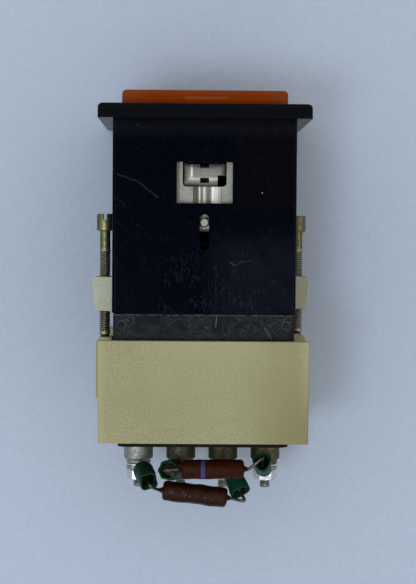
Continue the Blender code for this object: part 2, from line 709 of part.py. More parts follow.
def ring_lug(name, index):
    roll = math.radians(LUG_AIMS[index][0])
    start, _, turn = lug_frame(index)
    seat = (terminal_places()[index], LUG_FRONT, 0)
    made = place(rod("ring", LUG_RADIUS, 0, LUG_SHEET, SMALL_ROUND), name, TIN, seat)
    half = LUG_NECK_WIDTH / 2
    root = (HOLE_RADIUS + LUG_RADIUS) / 2
    # The neck is pressed a little thinner than the ring
    neck = box("neck", (-half, RUN / 2, root), (half, LUG_SHEET - RUN / 2, LUG_NECK))
    join(made, neck, at=seat, turn=Matrix.Rotation(roll, 3, "Y"))
    join(made, rod("barrel", BARREL_RADIUS, -LUG_SHEET, BARREL_LENGTH, SMALL_ROUND), at=start, turn=turn)
    bore_front = BARREL_LENGTH - BARREL_BORE_DEPTH
    bore = rod("bore", BARREL_BORE, bore_front, BARREL_LENGTH + BARREL_RADIUS, SMALL_ROUND)
    cut(made, bore, at=start, turn=turn)
    cut(made, rod("hole", HOLE_RADIUS, -LUG_SHEET, 2 * LUG_SHEET, SMALL_ROUND), at=seat)
    return made


def lug_sleeve(name, index):
    start, _, turn = lug_frame(index)
    inner = BARREL_RADIUS + SEAT
    end = SLEEVE_LIFT + LUG_SLEEVE_LENGTH
    sleeve = tube("sleeve", LUG_SLEEVE_RADIUS, inner, SLEEVE_LIFT, end, SMALL_ROUND)
    return place(sleeve, name, GREEN, start, turn)


def terminals():
    for index, x in enumerate(terminal_places()):
        number = index + 1
        terminal_post(f"terminal_post_{number}", x)
        terminal_stud(f"terminal_stud_{number}", x)
        terminal_washer(f"terminal_washer_{number}", x)
        terminal_nut(f"terminal_nut_{number}", x)
        ring_lug(f"ring_lug_{number}", index)
        lug_sleeve(f"lug_sleeve_{number}", index)


def resistor(name, centre, degrees, growth):
    """A coated resistor along X, turned about Z. Returns its direction."""
    half = RESISTOR_LENGTH / 2 * growth
    radius = RESISTOR_RADIUS * growth
    front = arc((radius - RESISTOR_ROUND, half - RESISTOR_ROUND), RESISTOR_ROUND, 90, 0, 4)
    rear = [(x, -y) for x, y in reversed(front)]
    waist = [(radius - RESISTOR_WAIST, half / 2), (radius - RESISTOR_WAIST, -half / 2)]
    mesh = along_y("body", [(0, half)] + front + waist + rear + [(0, -half)])
    turn = Matrix.Rotation(math.radians(degrees - 90), 3, "Z")
    place(mesh, name, ENAMEL, centre, turn)
    return turn @ Vector((0, 1, 0))


def smooth_route(route, steps):
    """Points of a smooth curve through a route."""
    padded = [route[0] * 2 - route[1]] + route + [route[-1] * 2 - route[-2]]
    points = []
    for before, here, after, beyond in zip(padded, padded[1:], padded[2:], padded[3:]):
        for step in range(steps):
            part = step / steps
            bend = (after - before) * part
            bend += (before * 2 - here * 5 + after * 4 - beyond) * part ** 2
            bend += (here * 3 - before - after * 3 + beyond) * part ** 3
            points.append(here + bend / 2)
    return points + [route[-1]]


def lead(name, index, end, outward):
    """A wire from a lug's barrel to a resistor's end."""
    start, aim, _ = lug_frame(index)
    mouth = start + aim * (SLEEVE_LIFT + LUG_SLEEVE_LENGTH)
    route = [start + aim * (BARREL_LENGTH - LEAD_INSERT), mouth, mouth + aim * LEAD_RISE]
    route += [end + outward * (SEAT + LEAD_STUB), end + outward * SEAT]
    curve = bpy.data.curves.new(name, "CURVE")
    curve.dimensions = "3D"
    curve.bevel_depth = LEAD_RADIUS
    curve.bevel_resolution = 2
    curve.use_fill_caps = True
    spline = curve.splines.new("POLY")
    smooth = smooth_route(route, 4)
    spline.points.add(len(smooth) - 1)
    for point, spot in zip(spline.points, smooth):
        point.co = (*spot, 1)
    return place(mesh_of(curve, name), name, TIN)


def resistors():
    upper = Vector((UPPER_SHIFT, POST_REAR - UPPER_SETBACK, UPPER_RISE))
    lower = Vector((LOWER_SHIFT, POST_REAR + LOWER_SETBACK, LOWER_RISE))
    for name, centre, turn, growth, first, last in (
        ("resistor_upper", upper, UPPER_TURN, 1.0, 1, 3),
        ("resistor_lower", lower, LOWER_TURN, LOWER_GROWTH, 0, 2),
    ):
        half = RESISTOR_LENGTH / 2 * growth
        along = resistor(name, centre, turn, growth)
        lead(f"{name}_lead_left", first, centre + along * half, along)
        lead(f"{name}_lead_right", last, centre - along * half, -along)


def clamp_collar():
    rear = COLLAR_START + COLLAR_LENGTH
    shell = prism("frame", square(COLLAR, COLLAR_EDGE), "XZ", COLLAR_START, rear)
    taper = 1 - 2 * COLLAR_TAPER / COLLAR
    for vert in shell.vertices:
        if vert.co.y > COLLAR_START + SEAT:
            vert.co.x *= taper
            vert.co.z *= taper
    made = place(shell, "clamp_collar", CREAM)
    past = COLLAR_LENGTH / 2
    cut(made, prism("bore", square(COLLAR_BORE, SLEEVE_CORNER), "XZ", COLLAR_START - past, rear + past))
    inner = COLLAR_BORE / 2
    for side in (-1, 1):
        reach = sorted((side * (inner - SEAT), side * COLLAR))
        low = (reach[0], COLLAR_START - past, -inner)
        high = (reach[1], COLLAR_START + NOTCH_DEPTH, inner)
        cut(made, box("notch", low, high))
    flat = BOSS_CHAMFER
    start = COLLAR_START
    outline = [(inner + RUN, start), (BOSS_OUT - flat, start), (BOSS_OUT, start + flat)]
    outline += [(BOSS_OUT, start + BOSS_LENGTH - flat), (inner + flat, start + BOSS_LENGTH + flat)]
    outline += [(inner + RUN, start + BOSS_LENGTH)]
    low = SCREW_RISE - BOSS_HEIGHT / 2
    for turn in (Matrix.Identity(3), Matrix.Rotation(math.pi, 3, "Y")):
        join(made, prism("boss", outline, "XY", low, low + BOSS_HEIGHT), turn=turn)
        pivot = rod("pivot", SCREW_DOG_RADIUS + 2 * RUN, start - past, start + SCREW_DOG_LENGTH + SEAT)
        cut(made, pivot, at=turn @ Vector((SCREW_OUT, 0, SCREW_RISE)), turn=turn)
    return made


def clamp_screw(side):
    head_end = SCREW_HEAD_START + SCREW_HEAD_DEPTH
    shank_end = head_end + SCREW_SHANK_LENGTH
    thread_end = COLLAR_START - SEAT - SCREW_TAPER
    dog_end = COLLAR_START + SCREW_DOG_LENGTH
    edge = SCREW_HEAD_RADIUS / 8
    step = SCREW_THREAD_RADIUS - SCREW_SHANK_RADIUS
    profile = [(0, dog_end), (SCREW_DOG_RADIUS, dog_end), (SCREW_DOG_RADIUS, thread_end + SCREW_TAPER)]
    profile += [(SCREW_THREAD_RADIUS, thread_end), (SCREW_THREAD_RADIUS, shank_end + step)]
    profile += [(SCREW_SHANK_RADIUS, shank_end), (SCREW_SHANK_RADIUS, head_end)]
    profile += [(SCREW_HEAD_RADIUS, head_end), (SCREW_HEAD_RADIUS, SCREW_HEAD_START + edge)]
    profile += [(SCREW_HEAD_RADIUS - edge, SCREW_HEAD_START), (0, SCREW_HEAD_START)]
    made = place(along_y("screw", profile), f"clamp_screw_{side}", YELLOW_ZINC)
    half = SCREW_SLOT_WIDTH / 2
    reach = 2 * SCREW_HEAD_RADIUS
    low = (-half, SCREW_HEAD_START - reach, -reach)
    high = (half, SCREW_HEAD_START + SCREW_SLOT_DEPTH, reach)
    slot = cut(made, box("slot", low, high))
    hang(slot, made)
    return made


def clamp_block(side):
    rear = BLOCK_START + BLOCK_LENGTH
    inner = BLOCK_IN - SCREW_OUT
    outer = BLOCK_OUT - SCREW_OUT
    corners = [(inner, BLOCK_START, BLOCK_EDGE / 2), (outer, BLOCK_START, BLOCK_EDGE)]
    corners += [(outer, BLOCK_START + BLOCK_STRAIGHT, BLOCK_LENGTH)]
    corners += [(outer - BLOCK_TAPER, rear, BLOCK_EDGE)]
    corners += [(inner, rear, BLOCK_EDGE / 2)]
    half = BLOCK_HEIGHT / 2
    made = place(prism("block", rounded(corners), "XY", -half, half), f"clamp_block_{side}", PALE)
    bore = rod("bore", SCREW_THREAD_RADIUS + RUN, BLOCK_START - BLOCK_LENGTH, rear + BLOCK_LENGTH)
    hang(cut(made, bore), made)
    return made


def clamps():
    """The two clamp screws are the same set, turned half round the button's own axis."""
    for side, turn in (("left", 0.0), ("right", math.pi)):
        about = Matrix.Rotation(turn, 3, "Y")
        axis = empty(f"clamp_axis_{side}", about @ Vector((SCREW_OUT, 0, SCREW_RISE)), about)
        screw = clamp_screw(side)
        screw.parent = axis
        screw.rotation_euler.y = math.radians(SCREW_TURNS[side])
        clamp_block(side).parent = axis


def button():
    slide = empty("button_slide", (0, 0, 0))
    pieces = [lens_cap(), lamp_carriage(), guide_pin(), lamp_bracket(), lamp_socket(), plunger()]
    for piece in pieces + [contact_bridge()] + lamp():
        hang(piece, slide)


housing()
rear_base()
guide_plate()
terminals()
resistors()
button()
return_spring()
clamp_collar()
clamps()
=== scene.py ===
"""Panel push-button with a lamp, screw terminals and a clamp frame, lying on its side on a pale table.

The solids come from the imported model. Fine edges, threads, coatings and wear are made here.
+Y runs from the panel to the terminals and +Z is up. Lengths are in metres.
"""

import json
import math

import bmesh
import bpy
from mathutils import Matrix, Vector, noise

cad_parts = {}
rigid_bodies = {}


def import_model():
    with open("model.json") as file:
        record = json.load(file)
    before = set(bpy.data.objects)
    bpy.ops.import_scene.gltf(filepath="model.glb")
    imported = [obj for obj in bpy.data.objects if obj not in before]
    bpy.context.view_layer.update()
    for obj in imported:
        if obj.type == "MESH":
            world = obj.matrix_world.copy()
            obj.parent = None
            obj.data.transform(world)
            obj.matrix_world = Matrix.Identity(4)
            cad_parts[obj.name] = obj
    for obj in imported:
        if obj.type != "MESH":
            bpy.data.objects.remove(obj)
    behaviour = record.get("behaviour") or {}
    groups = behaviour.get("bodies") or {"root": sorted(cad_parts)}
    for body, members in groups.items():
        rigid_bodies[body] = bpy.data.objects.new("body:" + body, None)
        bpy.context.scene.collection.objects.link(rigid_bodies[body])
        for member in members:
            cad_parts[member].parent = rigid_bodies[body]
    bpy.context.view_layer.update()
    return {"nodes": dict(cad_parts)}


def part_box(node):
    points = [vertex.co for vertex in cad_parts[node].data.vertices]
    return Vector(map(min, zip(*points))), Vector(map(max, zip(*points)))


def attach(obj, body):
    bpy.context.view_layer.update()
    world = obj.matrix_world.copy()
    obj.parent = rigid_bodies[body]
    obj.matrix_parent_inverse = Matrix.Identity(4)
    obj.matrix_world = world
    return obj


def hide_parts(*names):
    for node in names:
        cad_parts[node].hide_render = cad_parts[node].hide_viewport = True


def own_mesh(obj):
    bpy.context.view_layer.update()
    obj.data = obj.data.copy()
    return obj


MM = 0.001

# The photograph's height, its focal length and the point straight below its camera, in pixels
PHOTO_HEIGHT = 584
FOCAL = 1580
NADIR_LEFT = 20.5
NADIR_ABOVE = 60.5
# The camera's place, its roll, its sensor in millimetres and the nearest distance that it sees
CAMERA_AT = Vector((4.1, 27.3, 407.0)) * MM
ROLL = math.radians(0.4)
SENSOR = 36.0
NEAREST = 10 * MM

# Table and lamp
TABLE_TOP = -26.05 * MM
TABLE_SIZE = 1.6
LAMP_LEAN = Vector((0.265, 0.167, 1.0))
LAMP_DISTANCE = 0.9
LAMP_SIZE = 0.22
LAMP_POWER = 2.4
LAMP_COLOUR = (0.75, 0.9, 1.0)
LAMP_AIM = Vector((0, 40, 0)) * MM
# The room's light by height, from the horizon at 0 to straight up at 1
ROOM_TONES = [
    (0.0, (0.22, 0.21, 0.19)),
    (0.7, (1.18, 1.13, 1.04)),
    (0.95, (1.18, 1.13, 1.04)),
    (0.985, (0.19, 0.19, 0.19)),
    (1.0, (0.13, 0.13, 0.13)),
]

# Solids' corners and faces that count as one, and their sharp edges, which are rounded in steps
SAME_PLACE = 1e-7
FLAT_ANGLE = math.radians(0.5)
EDGE_ANGLE = math.radians(32)
EDGE_STEPS = 3
# Rows of corners in each turn of a thread
THREAD_ROWS = 8

# Terminals
TERMINAL_PITCH = 10.9 * MM
TERMINALS = 4
POST_FRONT = 80.5 * MM
POST_REAR = 87.0 * MM
WASHER_FRONT = 87.1 * MM
WASHER_REAR = 87.6 * MM
NUT_FRONT = 88.6 * MM
NUT_REAR = 91.2 * MM
STUD_HEAD_FRONT = 73.3 * MM
STUD_HEAD_REAR = 75.7 * MM
STUD_REAR = 93.2 * MM
HOLE_RADIUS = 1.5 * MM
WASHER_RADIUS = 3.1 * MM

# Lugs, sleeves and resistors
LUG_MIDDLE = 88.1 * MM
LUG_NECK = 5.2 * MM
# Each lug's roll about Y and its bend towards the rear, in degrees
LUG_AIMS = [(-13.0, 14.5), (14.0, -7.0), (-22.0, 38.0), (6.0, -24.0)]
BARREL_LENGTH = 6.6 * MM
SLEEVE_LIFT = 0.6 * MM
SLEEVE_LENGTH = 7.4 * MM
# How far each sleeve's mouth is pinched, into how many flats, and how closely its foot hugs the barrel
SLEEVE_PINCHES = [(0.2, 4, 0.0), (0.12, 7, 0.0), (0.34, 2, 0.1), (0.22, 3, 0.24)]
RESISTOR_LENGTH = 15.6 * MM
RESISTOR_RADIUS = 2.42 * MM
# Each resistor's middle, turn about Z in degrees, growth and the lugs at its ends
RESISTORS = {
    "upper": (Vector((-2.6, 86.45, 15.2)) * MM, 0.5, 1.0, (1, 3)),
    "lower": (Vector((1.8, 93.4, 11.0)) * MM, -6.6, 1.05, (0, 2)),
}
LEAD_RADIUS = 0.4 * MM
# How far each lead goes down its barrel, out of its sleeve, straight out of its resistor and into that
LEAD_DEPTH = 3 * MM
LEAD_RISE = 2.8 * MM
LEAD_STUB = 0.9 * MM
LEAD_SUNK = 0.6 * MM
# The gap that the solids keep at a seat
SEAT = 0.3 * MM

# Carriage, spring and clamp screws
YOKE_WIDTH = 10.8 * MM
YOKE_END = 16.3 * MM
CARRIAGE_TOP = 19.75 * MM
FLUTE_RADIUS = 5.0 * MM
FLUTE_DEPTH = 1.4 * MM
FLUTE_SHIFT = -0.7 * MM
FLUTE_END = 21.5 * MM
# Each rib's place across the flute and its radius
FLUTE_RIBS = [(2.2 * MM, 0.2 * MM), (1.1 * MM, 0.4 * MM), (-0.1 * MM, 0.4 * MM)]
SCREW_OUT = 24.8 * MM
SCREW_UP = 8.3 * MM
# How far each screw's slot is turned, in degrees
SCREW_TURNS = {"left": 0.0, "right": 55.0}
SPRING_RADIUS = 5.6 * MM
SPRING_WIRE = 0.45 * MM
SPRING_TURNS = 5

# Scratches on the sleeve's top in millimetres: where each starts and ends, its width and its strength
SLEEVE_SCRATCHES = [
    ((21.3, 13.5), (16.5, 15.2), 0.2, 0.4),
    ((16.5, 15.2), (11.3, 19.1), 0.2, 0.4),
    ((-6.2, 34.6), (-7.4, 35.5), 0.22, 0.7),
    ((-7.4, 35.5), (-8.8, 35.0), 0.18, 0.4),
    ((-8.2, 34.9), (-11.5, 34.2), 0.18, 0.4),
    ((-2.9, 34.5), (-2.9, 46.5), 0.18, 0.15),
]
# Scratches on the base's top in the same way, all of full strength
BASE_SCRATCHES = [((-14.8, 50.8), (-16.7, 53.3), 0.14), ((-2.95, 47.6), (-2.95, 50.6), 0.16)]
# Pale specks on the sleeve's top in millimetres: where each lies, and its strength
SLEEVE_SPECKS = [(-14.0, 17.8, 1.0), (16.4, 1.6, 0.12), (16.2, 25.8, 0.08)]

for old in list(bpy.data.objects):
    bpy.data.objects.remove(old, do_unlink=True)
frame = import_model()


# Materials


class Socket:
    """A node's output, which can be used in sums."""

    def __init__(self, tree, output):
        self.tree = tree
        self.output = output

    def __add__(self, other):
        return self.tree.math("ADD", self, other)

    __radd__ = __add__

    def __sub__(self, other):
        return self.tree.math("SUBTRACT", self, other)

    def __rsub__(self, other):
        return self.tree.math("SUBTRACT", other, self)

    def __mul__(self, other):
        return self.tree.math("MULTIPLY", self, other)

    __rmul__ = __mul__

    def __abs__(self):
        return self.tree.math("ABSOLUTE", self)


class Tree:
    """A node tree in the making."""

    def __init__(self, holder):
        holder.use_nodes = True
        self.nodes = holder.node_tree.nodes
        self.links = holder.node_tree.links

    def node(self, kind, settings=(), sockets=(), output=0):
        """A new node's output. Its settings, such as a ramp's stops, come before its sockets."""
        made = self.nodes.new("ShaderNode" + kind)
        for key, value in dict(settings).items():
            if key == "stops":
                self.set_stops(made.color_ramp, value)
            else:
                setattr(made, key, value)
        for key, value in dict(sockets).items():
            self.join(made.inputs[key], value)
        return Socket(self, made.outputs[output])

    def set_stops(self, ramp, stops):
        """Give a smooth ramp its places and colours, which are in rising order."""
        ramp.interpolation = "EASE"
        for place, tone in stops[1:-1]:
            ramp.elements.new(place).color = (*tone, 1.0)
        for end in (0, -1):
            place, tone = stops[end]
            ramp.elements[end].position = place
            ramp.elements[end].color = (*tone, 1.0)

    def join(self, inlet, value):
        """Give a socket a link or a value."""
        if isinstance(value, Socket):
            self.links.new(value.output, inlet)
        elif inlet.type == "RGBA":
            inlet.default_value = (*value, 1.0)
        else:
            inlet.default_value = value

    def math(self, operation, first, second=0.0):
        return self.node("Math", {"operation": operation}, {0: first, 1: second})

    def split(self, place):
        """The three coordinates of a place."""
        parts = self.node("SeparateXYZ", sockets={0: place}).output.node
        return [Socket(self, output) for output in parts.outputs]


class Finish(Tree):
    """A material in the making. Constants name the shader's sockets in small letters."""

    def __init__(self, name, **constants):
        self.material = bpy.data.materials.new(name)
        super().__init__(self.material)
        self.shader = self.nodes["Principled BSDF"]
        self.place = self.node("TexCoord", output="Object")
        for key, value in constants.items():
            self.set(key.replace("_", " ").title().replace("Ior", "IOR"), value)

    def set(self, name, value):
        """Give one of the shader's sockets a value or a map."""
        self.join(self.shader.inputs[name], value)

    def axes(self):
        """The distances across, along and up."""
        return self.split(self.place)

    def scaled(self, sizes, turn=0.0, shift=0.0):
        """Places counted in lumps of three sizes, after a turn about Z."""
        spun = self.node("VectorRotate", {"rotation_type": "Z_AXIS"}, {"Vector": self.place, "Angle": turn})
        counts = tuple(1 / size for size in sizes)
        grown = self.node("VectorMath", {"operation": "MULTIPLY"}, {0: spun, 1: counts})
        return self.node("VectorMath", {"operation": "ADD"}, {0: grown, 1: (shift, shift, shift)})

    def streaks(self, sizes, turn=0.0, detail=2.0, shift=0.0, roughness=0.5):
        """Noise from 0 to 1, drawn out by three sizes."""
        place = self.scaled(sizes, turn, shift)
        sockets = {"Vector": place, "Scale": 1.0, "Detail": detail, "Roughness": roughness}
        return self.node("TexNoise", sockets=sockets)

    def cloud(self, size, detail=3.0, roughness=0.55, shift=0.0):
        """Cloudy noise from 0 to 1 with lumps of a size."""
        return self.streaks((size, size, size), 0.0, detail, shift, roughness)

    def hairlines(self, sizes, turn, width, shift=0.0):
        """Thin lines that follow drawn-out noise."""
        return 1 - self.step(abs(self.streaks(sizes, turn, 0.0, shift) - 0.5), 0.0, width)

    def specks(self, spacing, radius):
        """Small round dots, about one for each spacing."""
        place = self.scaled((spacing, spacing, spacing))
        near = self.node("TexVoronoi", sockets={"Vector": place, "Scale": 1.0}, output="Distance")
        return 1 - self.step(near, radius / spacing * 0.6, radius / spacing)

    def step(self, value, low, high):
        """Rises smoothly from 0 at low to 1 at high."""
        sockets = {"Value": value, "From Min": low, "From Max": high}
        return self.node("MapRange", {"interpolation_type": "SMOOTHSTEP"}, sockets)

    def within(self, value, low, high, soft):
        """1 between low and high."""
        return self.step(value, low - soft, low + soft) * (1 - self.step(value, high - soft, high + soft))

    def blend(self, factor, first, second):
        """A colour between two."""
        sockets = {0: factor, 6: first, 7: second}
        return self.node("Mix", {"data_type": "RGBA"}, sockets, 2)

    def bump(self, height, depth):
        """Fine relief, where a height of 1 stands for a depth."""
        sockets = {"Height": height, "Distance": depth, "Strength": 1.0}
        self.set("Normal", self.node("Bump", sockets=sockets))

    def reach(self, first, second):
        """The distance that two offsets make."""
        flat = self.node("CombineXYZ", sockets={0: first, 1: second})
        return self.node("VectorMath", {"operation": "LENGTH"}, {0: flat}, "Value")

    def on_top(self):
        """1 on the upper half, which the photograph shows."""
        _, _, rise = self.axes()
        return self.step(rise, 0.0, 1 * MM)

    def ring(self, x, y, radius, width):
        """A round line on the top about a place, or a dot where its radius is 0."""
        across, along, _ = self.axes()
        reach = self.reach(across - x, along - y)
        line = self.within(reach, radius - width / 2, radius + width / 2, width / 3)
        return line * self.on_top()

    def scratch(self, start, end, width):
        """A thin, slightly wavering scratch on the top between two places given in millimetres."""
        first = Vector(start) * MM
        run = Vector(end) * MM - first
        way = run.normalized()
        across, along, _ = self.axes()
        waver = (self.cloud(2.5 * MM, 1.0) - 0.5) * (0.9 * MM)
        along_run = (across - first.x) * way.x + (along - first.y) * way.y
        off_run = (across - first.x) * way.y - (along - first.y) * way.x + waver
        line = 1 - self.step(abs(off_run), width * 0.4, width)
        return line * self.within(along_run, 0.0, run.length, 0.4 * MM) * self.on_top()


def black_plastic():
    """Black moulding, hazed with fine flecks where it is worn and scratched in places."""
    made = Finish("black_moulding", specular_ior_level=0.025)
    across, along, _ = made.axes()
    tone = made.blend(made.cloud(7 * MM), (0.0002, 0.0005, 0.0025), (0.0008, 0.0012, 0.0039))
    clean = (1 - made.step(across, -9 * MM, -4 * MM)) * (1 - made.step(along, 18 * MM, 28 * MM))
    tone = made.blend(clean * 0.8, tone, (0.0018, 0.0019, 0.0028))
    bezel = 1 - made.step(along, -0.4 * MM, 0.0)
    tone = made.blend(bezel * 0.8, tone, (0.0034, 0.0038, 0.0052))
    handled = made.within(along, 0.3 * MM, 3.5 * MM, 2 * MM) * (0.4 + made.cloud(3 * MM, shift=6.0) * 0.6)
    tone = made.blend(handled, tone, (0.0052, 0.0063, 0.0095))
    dulled = made.step(along, 24 * MM, 34 * MM) * (1 - made.step(across, -8 * MM, 3 * MM))
    dulled = dulled * (0.3 + made.cloud(4 * MM, shift=2.0) * 0.7)
    tone = made.blend(dulled, tone, (0.0055, 0.0068, 0.0115))
    worn = made.within(across, -19 * MM, 10 * MM, 5 * MM) * made.step(along, 24 * MM, 42 * MM)
    patch = made.step(made.cloud(4 * MM, 2.0, shift=5.0), 0.4, 0.66)
    flecks = made.step(made.streaks((0.32 * MM, 1.0 * MM, 3 * MM), 0.0, 5.0), 0.48, 0.7)
    haze = flecks * (0.14 + worn * patch * 0.86)
    tone = made.blend(haze * 0.66, tone, (0.013, 0.0165, 0.03))
    hair = made.hairlines((2 * MM, 60 * MM, 20 * MM), 0.02, 0.004) * (0.2 + worn * 0.6)
    hair = hair * made.step(made.cloud(6 * MM, shift=3.0), 0.5, 0.66)
    slant = made.hairlines((50 * MM, 4 * MM, 20 * MM), 0.5, 0.003, 7.0)
    hair += slant * made.step(made.cloud(8 * MM, shift=9.0), 0.58, 0.7) * 0.5
    for start, end, width, strength in SLEEVE_SCRATCHES:
        hair += made.scratch(start, end, width * MM) * strength
    marks = made.math("MINIMUM", hair, 1.0)
    tone = made.blend(marks * 0.7, tone, (0.045, 0.05, 0.058))
    dust = made.specks(6.5 * MM, 0.17 * MM) * made.step(made.cloud(5 * MM, shift=4.0), 0.56, 0.64)
    tone = made.blend(dust * 0.5, tone, (0.16, 0.17, 0.18))
    for x, y, strength in SLEEVE_SPECKS:
        speck = made.ring(x * MM, y * MM, 0.0, 0.2 * MM)
        tone = made.blend(speck * strength, tone, (0.5, 0.51, 0.52))
    made.set("Base Color", tone)
    made.set("Roughness", 0.16 + made.cloud(2 * MM) * 0.07 + haze * 0.2 + marks * 0.1)
    grain = made.cloud(0.35 * MM, 2.0)
    made.bump(grain * 0.25 + made.cloud(9 * MM, 1.0) * 1.5 - marks * 0.5, 0.02 * MM)
    return made.material


def grey_plastic():
    """The base's moulding, worn grey on its strip in front of the collar, with a painted highlight along its
    front edge.
    """
    made = Finish("rubbed_base", specular_ior_level=0.08)
    _, along, _ = made.axes()
    tone = made.blend(made.cloud(4 * MM), (0.002, 0.0027, 0.0048), (0.0045, 0.0055, 0.0085))
    rub = made.step(made.cloud(0.4 * MM, 5.0, 0.8), 0.45, 0.66)
    rub = rub * made.step(made.cloud(3 * MM, shift=3.0), 0.36, 0.6)
    tone = made.blend(rub * 0.85, tone, (0.046, 0.053, 0.065))
    lines = made.step(made.streaks((0.35 * MM, 9 * MM, 6 * MM), 0.02), 0.6, 0.74)
    tone = made.blend(lines * 0.5, tone, (0.028, 0.031, 0.036))
    low = made.step(along, 50.8 * MM, 53 * MM)
    tone = made.blend(low * 0.3, tone, (0.018, 0.018, 0.017))
    # A thin pale line along the strip's front edge is a painted highlight; it joins the scratches in the
    # marks below.
    edge = made.within(along, 47.3 * MM, 47.75 * MM, 0.12 * MM) * made.on_top()
    hair = edge * made.step(made.cloud(1.6 * MM, shift=7.0), 0.3, 0.6)
    for x in (20.0 * MM, -20.0 * MM):
        hair += made.ring(x, 50.2 * MM, 1.0 * MM, 0.4 * MM) * 0.22
    for start, end, width in BASE_SCRATCHES:
        hair += made.scratch(start, end, width * MM)
    marks = made.math("MINIMUM", hair, 1.0)
    tone = made.blend(marks * 0.75, tone, (0.1, 0.105, 0.11))
    behind = made.step(along, 53 * MM, 56 * MM)
    made.set("Base Color", made.blend(behind, tone, (0.004, 0.0045, 0.006)))
    made.set("Roughness", 0.46 + made.cloud(1.5 * MM) * 0.16 + rub * 0.1)
    made.bump(made.cloud(0.3 * MM, 2.0) * 0.4 - marks, 0.02 * MM)
    return made.material


def orange_lens():
    """The cap, deeper at its root, paler at its ends and with a painted highlight along its top."""
    made = Finish("orange_lens", specular_ior_level=0.08)
    across, along, rise = made.axes()
    ends = made.step(abs(across), 12.5 * MM, 20 * MM)
    tone = made.blend(made.cloud(6 * MM), (0.152, 0.0225, 0.0008), (0.187, 0.0295, 0.0014))
    tone = made.blend(ends * 0.5, tone, (0.185, 0.044, 0.01))
    root = made.step(along, -5.2 * MM, -3.6 * MM)
    tone = made.blend(root * 0.2, tone, (0.08, 0.015, 0.002))
    # A painted highlight in a band along the cap's top.
    painted_top_highlight = made.within(across, -5.4 * MM, 5.0 * MM, 0.9 * MM)
    painted_top_highlight = painted_top_highlight * made.within(along, -5.6 * MM, -4.9 * MM, 0.25 * MM) * made.step(rise, 15 * MM, 17 * MM)
    tone = made.blend(painted_top_highlight * 0.5, tone, (0.25, 0.068, 0.016))
    made.set("Base Color", tone)
    made.set("Roughness", 0.12 + made.cloud(3 * MM) * 0.1)
    made.bump(made.cloud(4 * MM, 1.0) * 1.5 + made.cloud(0.5 * MM) * 0.2, 0.02 * MM)
    return made.material


def nickel():
    """Grainy plate, with painted shade and painted highlights in bands along the carriage's flute, the shaded
    bands broken by drawn streaks.
    """
    made = Finish("grainy_nickel", metallic=0.9)
    across, along, _ = made.axes()
    grain = made.cloud(0.22 * MM, 3.0, 0.75)
    tone = made.blend(made.step(grain, 0.3, 0.7), (0.13, 0.13, 0.118), (0.37, 0.37, 0.35))
    stain = made.step(made.cloud(2.2 * MM, shift=5.0), 0.5, 0.72)
    tone = made.blend(stain * 0.5, tone, (0.19, 0.185, 0.155))
    flute = made.within(along, YOKE_END, FLUTE_END, 0.1 * MM)
    lines = made.step(made.streaks((0.12 * MM, 20 * MM, 9 * MM)), 0.45, 0.6)
    # Painted shade: dark bands across the flute, broken by drawn streaks.
    dark = made.within(across, 1.5 * MM, 2.9 * MM, 0.15 * MM) * (0.3 + lines * 0.6)
    dark += made.within(across, 0.45 * MM, 0.75 * MM, 0.12 * MM) * 0.7
    dark += made.within(across, -1.5 * MM, -0.5 * MM, 0.2 * MM) * 0.65
    tone = made.blend(dark * flute, tone, (0.06, 0.058, 0.048))
    # Painted highlights: bright bands across the flute.
    bright = made.within(across, -4.0 * MM, -1.8 * MM, 0.2 * MM)
    bright += made.within(across, -0.4 * MM, 0.4 * MM, 0.1 * MM) * 0.7
    bright += made.within(across, 0.8 * MM, 1.4 * MM, 0.1 * MM) * 0.7
    tone = made.blend(bright * flute * 0.8, tone, (0.72, 0.72, 0.69))
    made.set("Base Color", tone)
    made.set("Roughness", 0.44 + grain * 0.16 + stain * 0.08)
    made.bump(grain + made.cloud(1.2 * MM) * 0.7, 0.03 * MM)
    return made.material


def recess_nickel():
    """The bracket's plate, with painted shade in its bends and painted highlights beside one side bend and
    along the rear bend.
    """
    made = Finish("recess_nickel", metallic=0.5, specular_ior_level=0.2)
    across, along, _ = made.axes()
    grain = made.cloud(0.22 * MM, 3.0, 0.75)
    tone = made.blend(made.step(grain, 0.3, 0.7), (0.11, 0.11, 0.1), (0.3, 0.3, 0.285))
    side = made.step(abs(across), 3.5 * MM, 4.3 * MM)
    end = made.step(along, 15.1 * MM, 16.0 * MM)
    # Painted shade in the side and rear bends, in a brown tone.
    grime_and_bend_shade = made.math("MAXIMUM", side, end) * (0.5 + made.cloud(1.0 * MM) * 0.4)
    tone = made.blend(grime_and_bend_shade, tone, (0.2, 0.175, 0.125))
    # Painted highlights: a bright line beside one side bend and a fainter one along the rear bend.
    painted_bend_highlight = made.within(across, 2.9 * MM, 3.45 * MM, 0.1 * MM)
    painted_bend_highlight = painted_bend_highlight * made.within(along, 10.8 * MM, 14 * MM, 0.3 * MM)
    painted_bend_highlight += made.within(along, 14.1 * MM, 14.7 * MM, 0.2 * MM) * (1 - side) * 0.5
    tone = made.blend(painted_bend_highlight * 0.8, tone, (0.7, 0.7, 0.68))
    made.set("Base Color", tone)
    made.set("Roughness", 0.46 + grain * 0.16)
    made.bump(grain + made.cloud(1.2 * MM) * 0.7, 0.03 * MM)
    return made.material


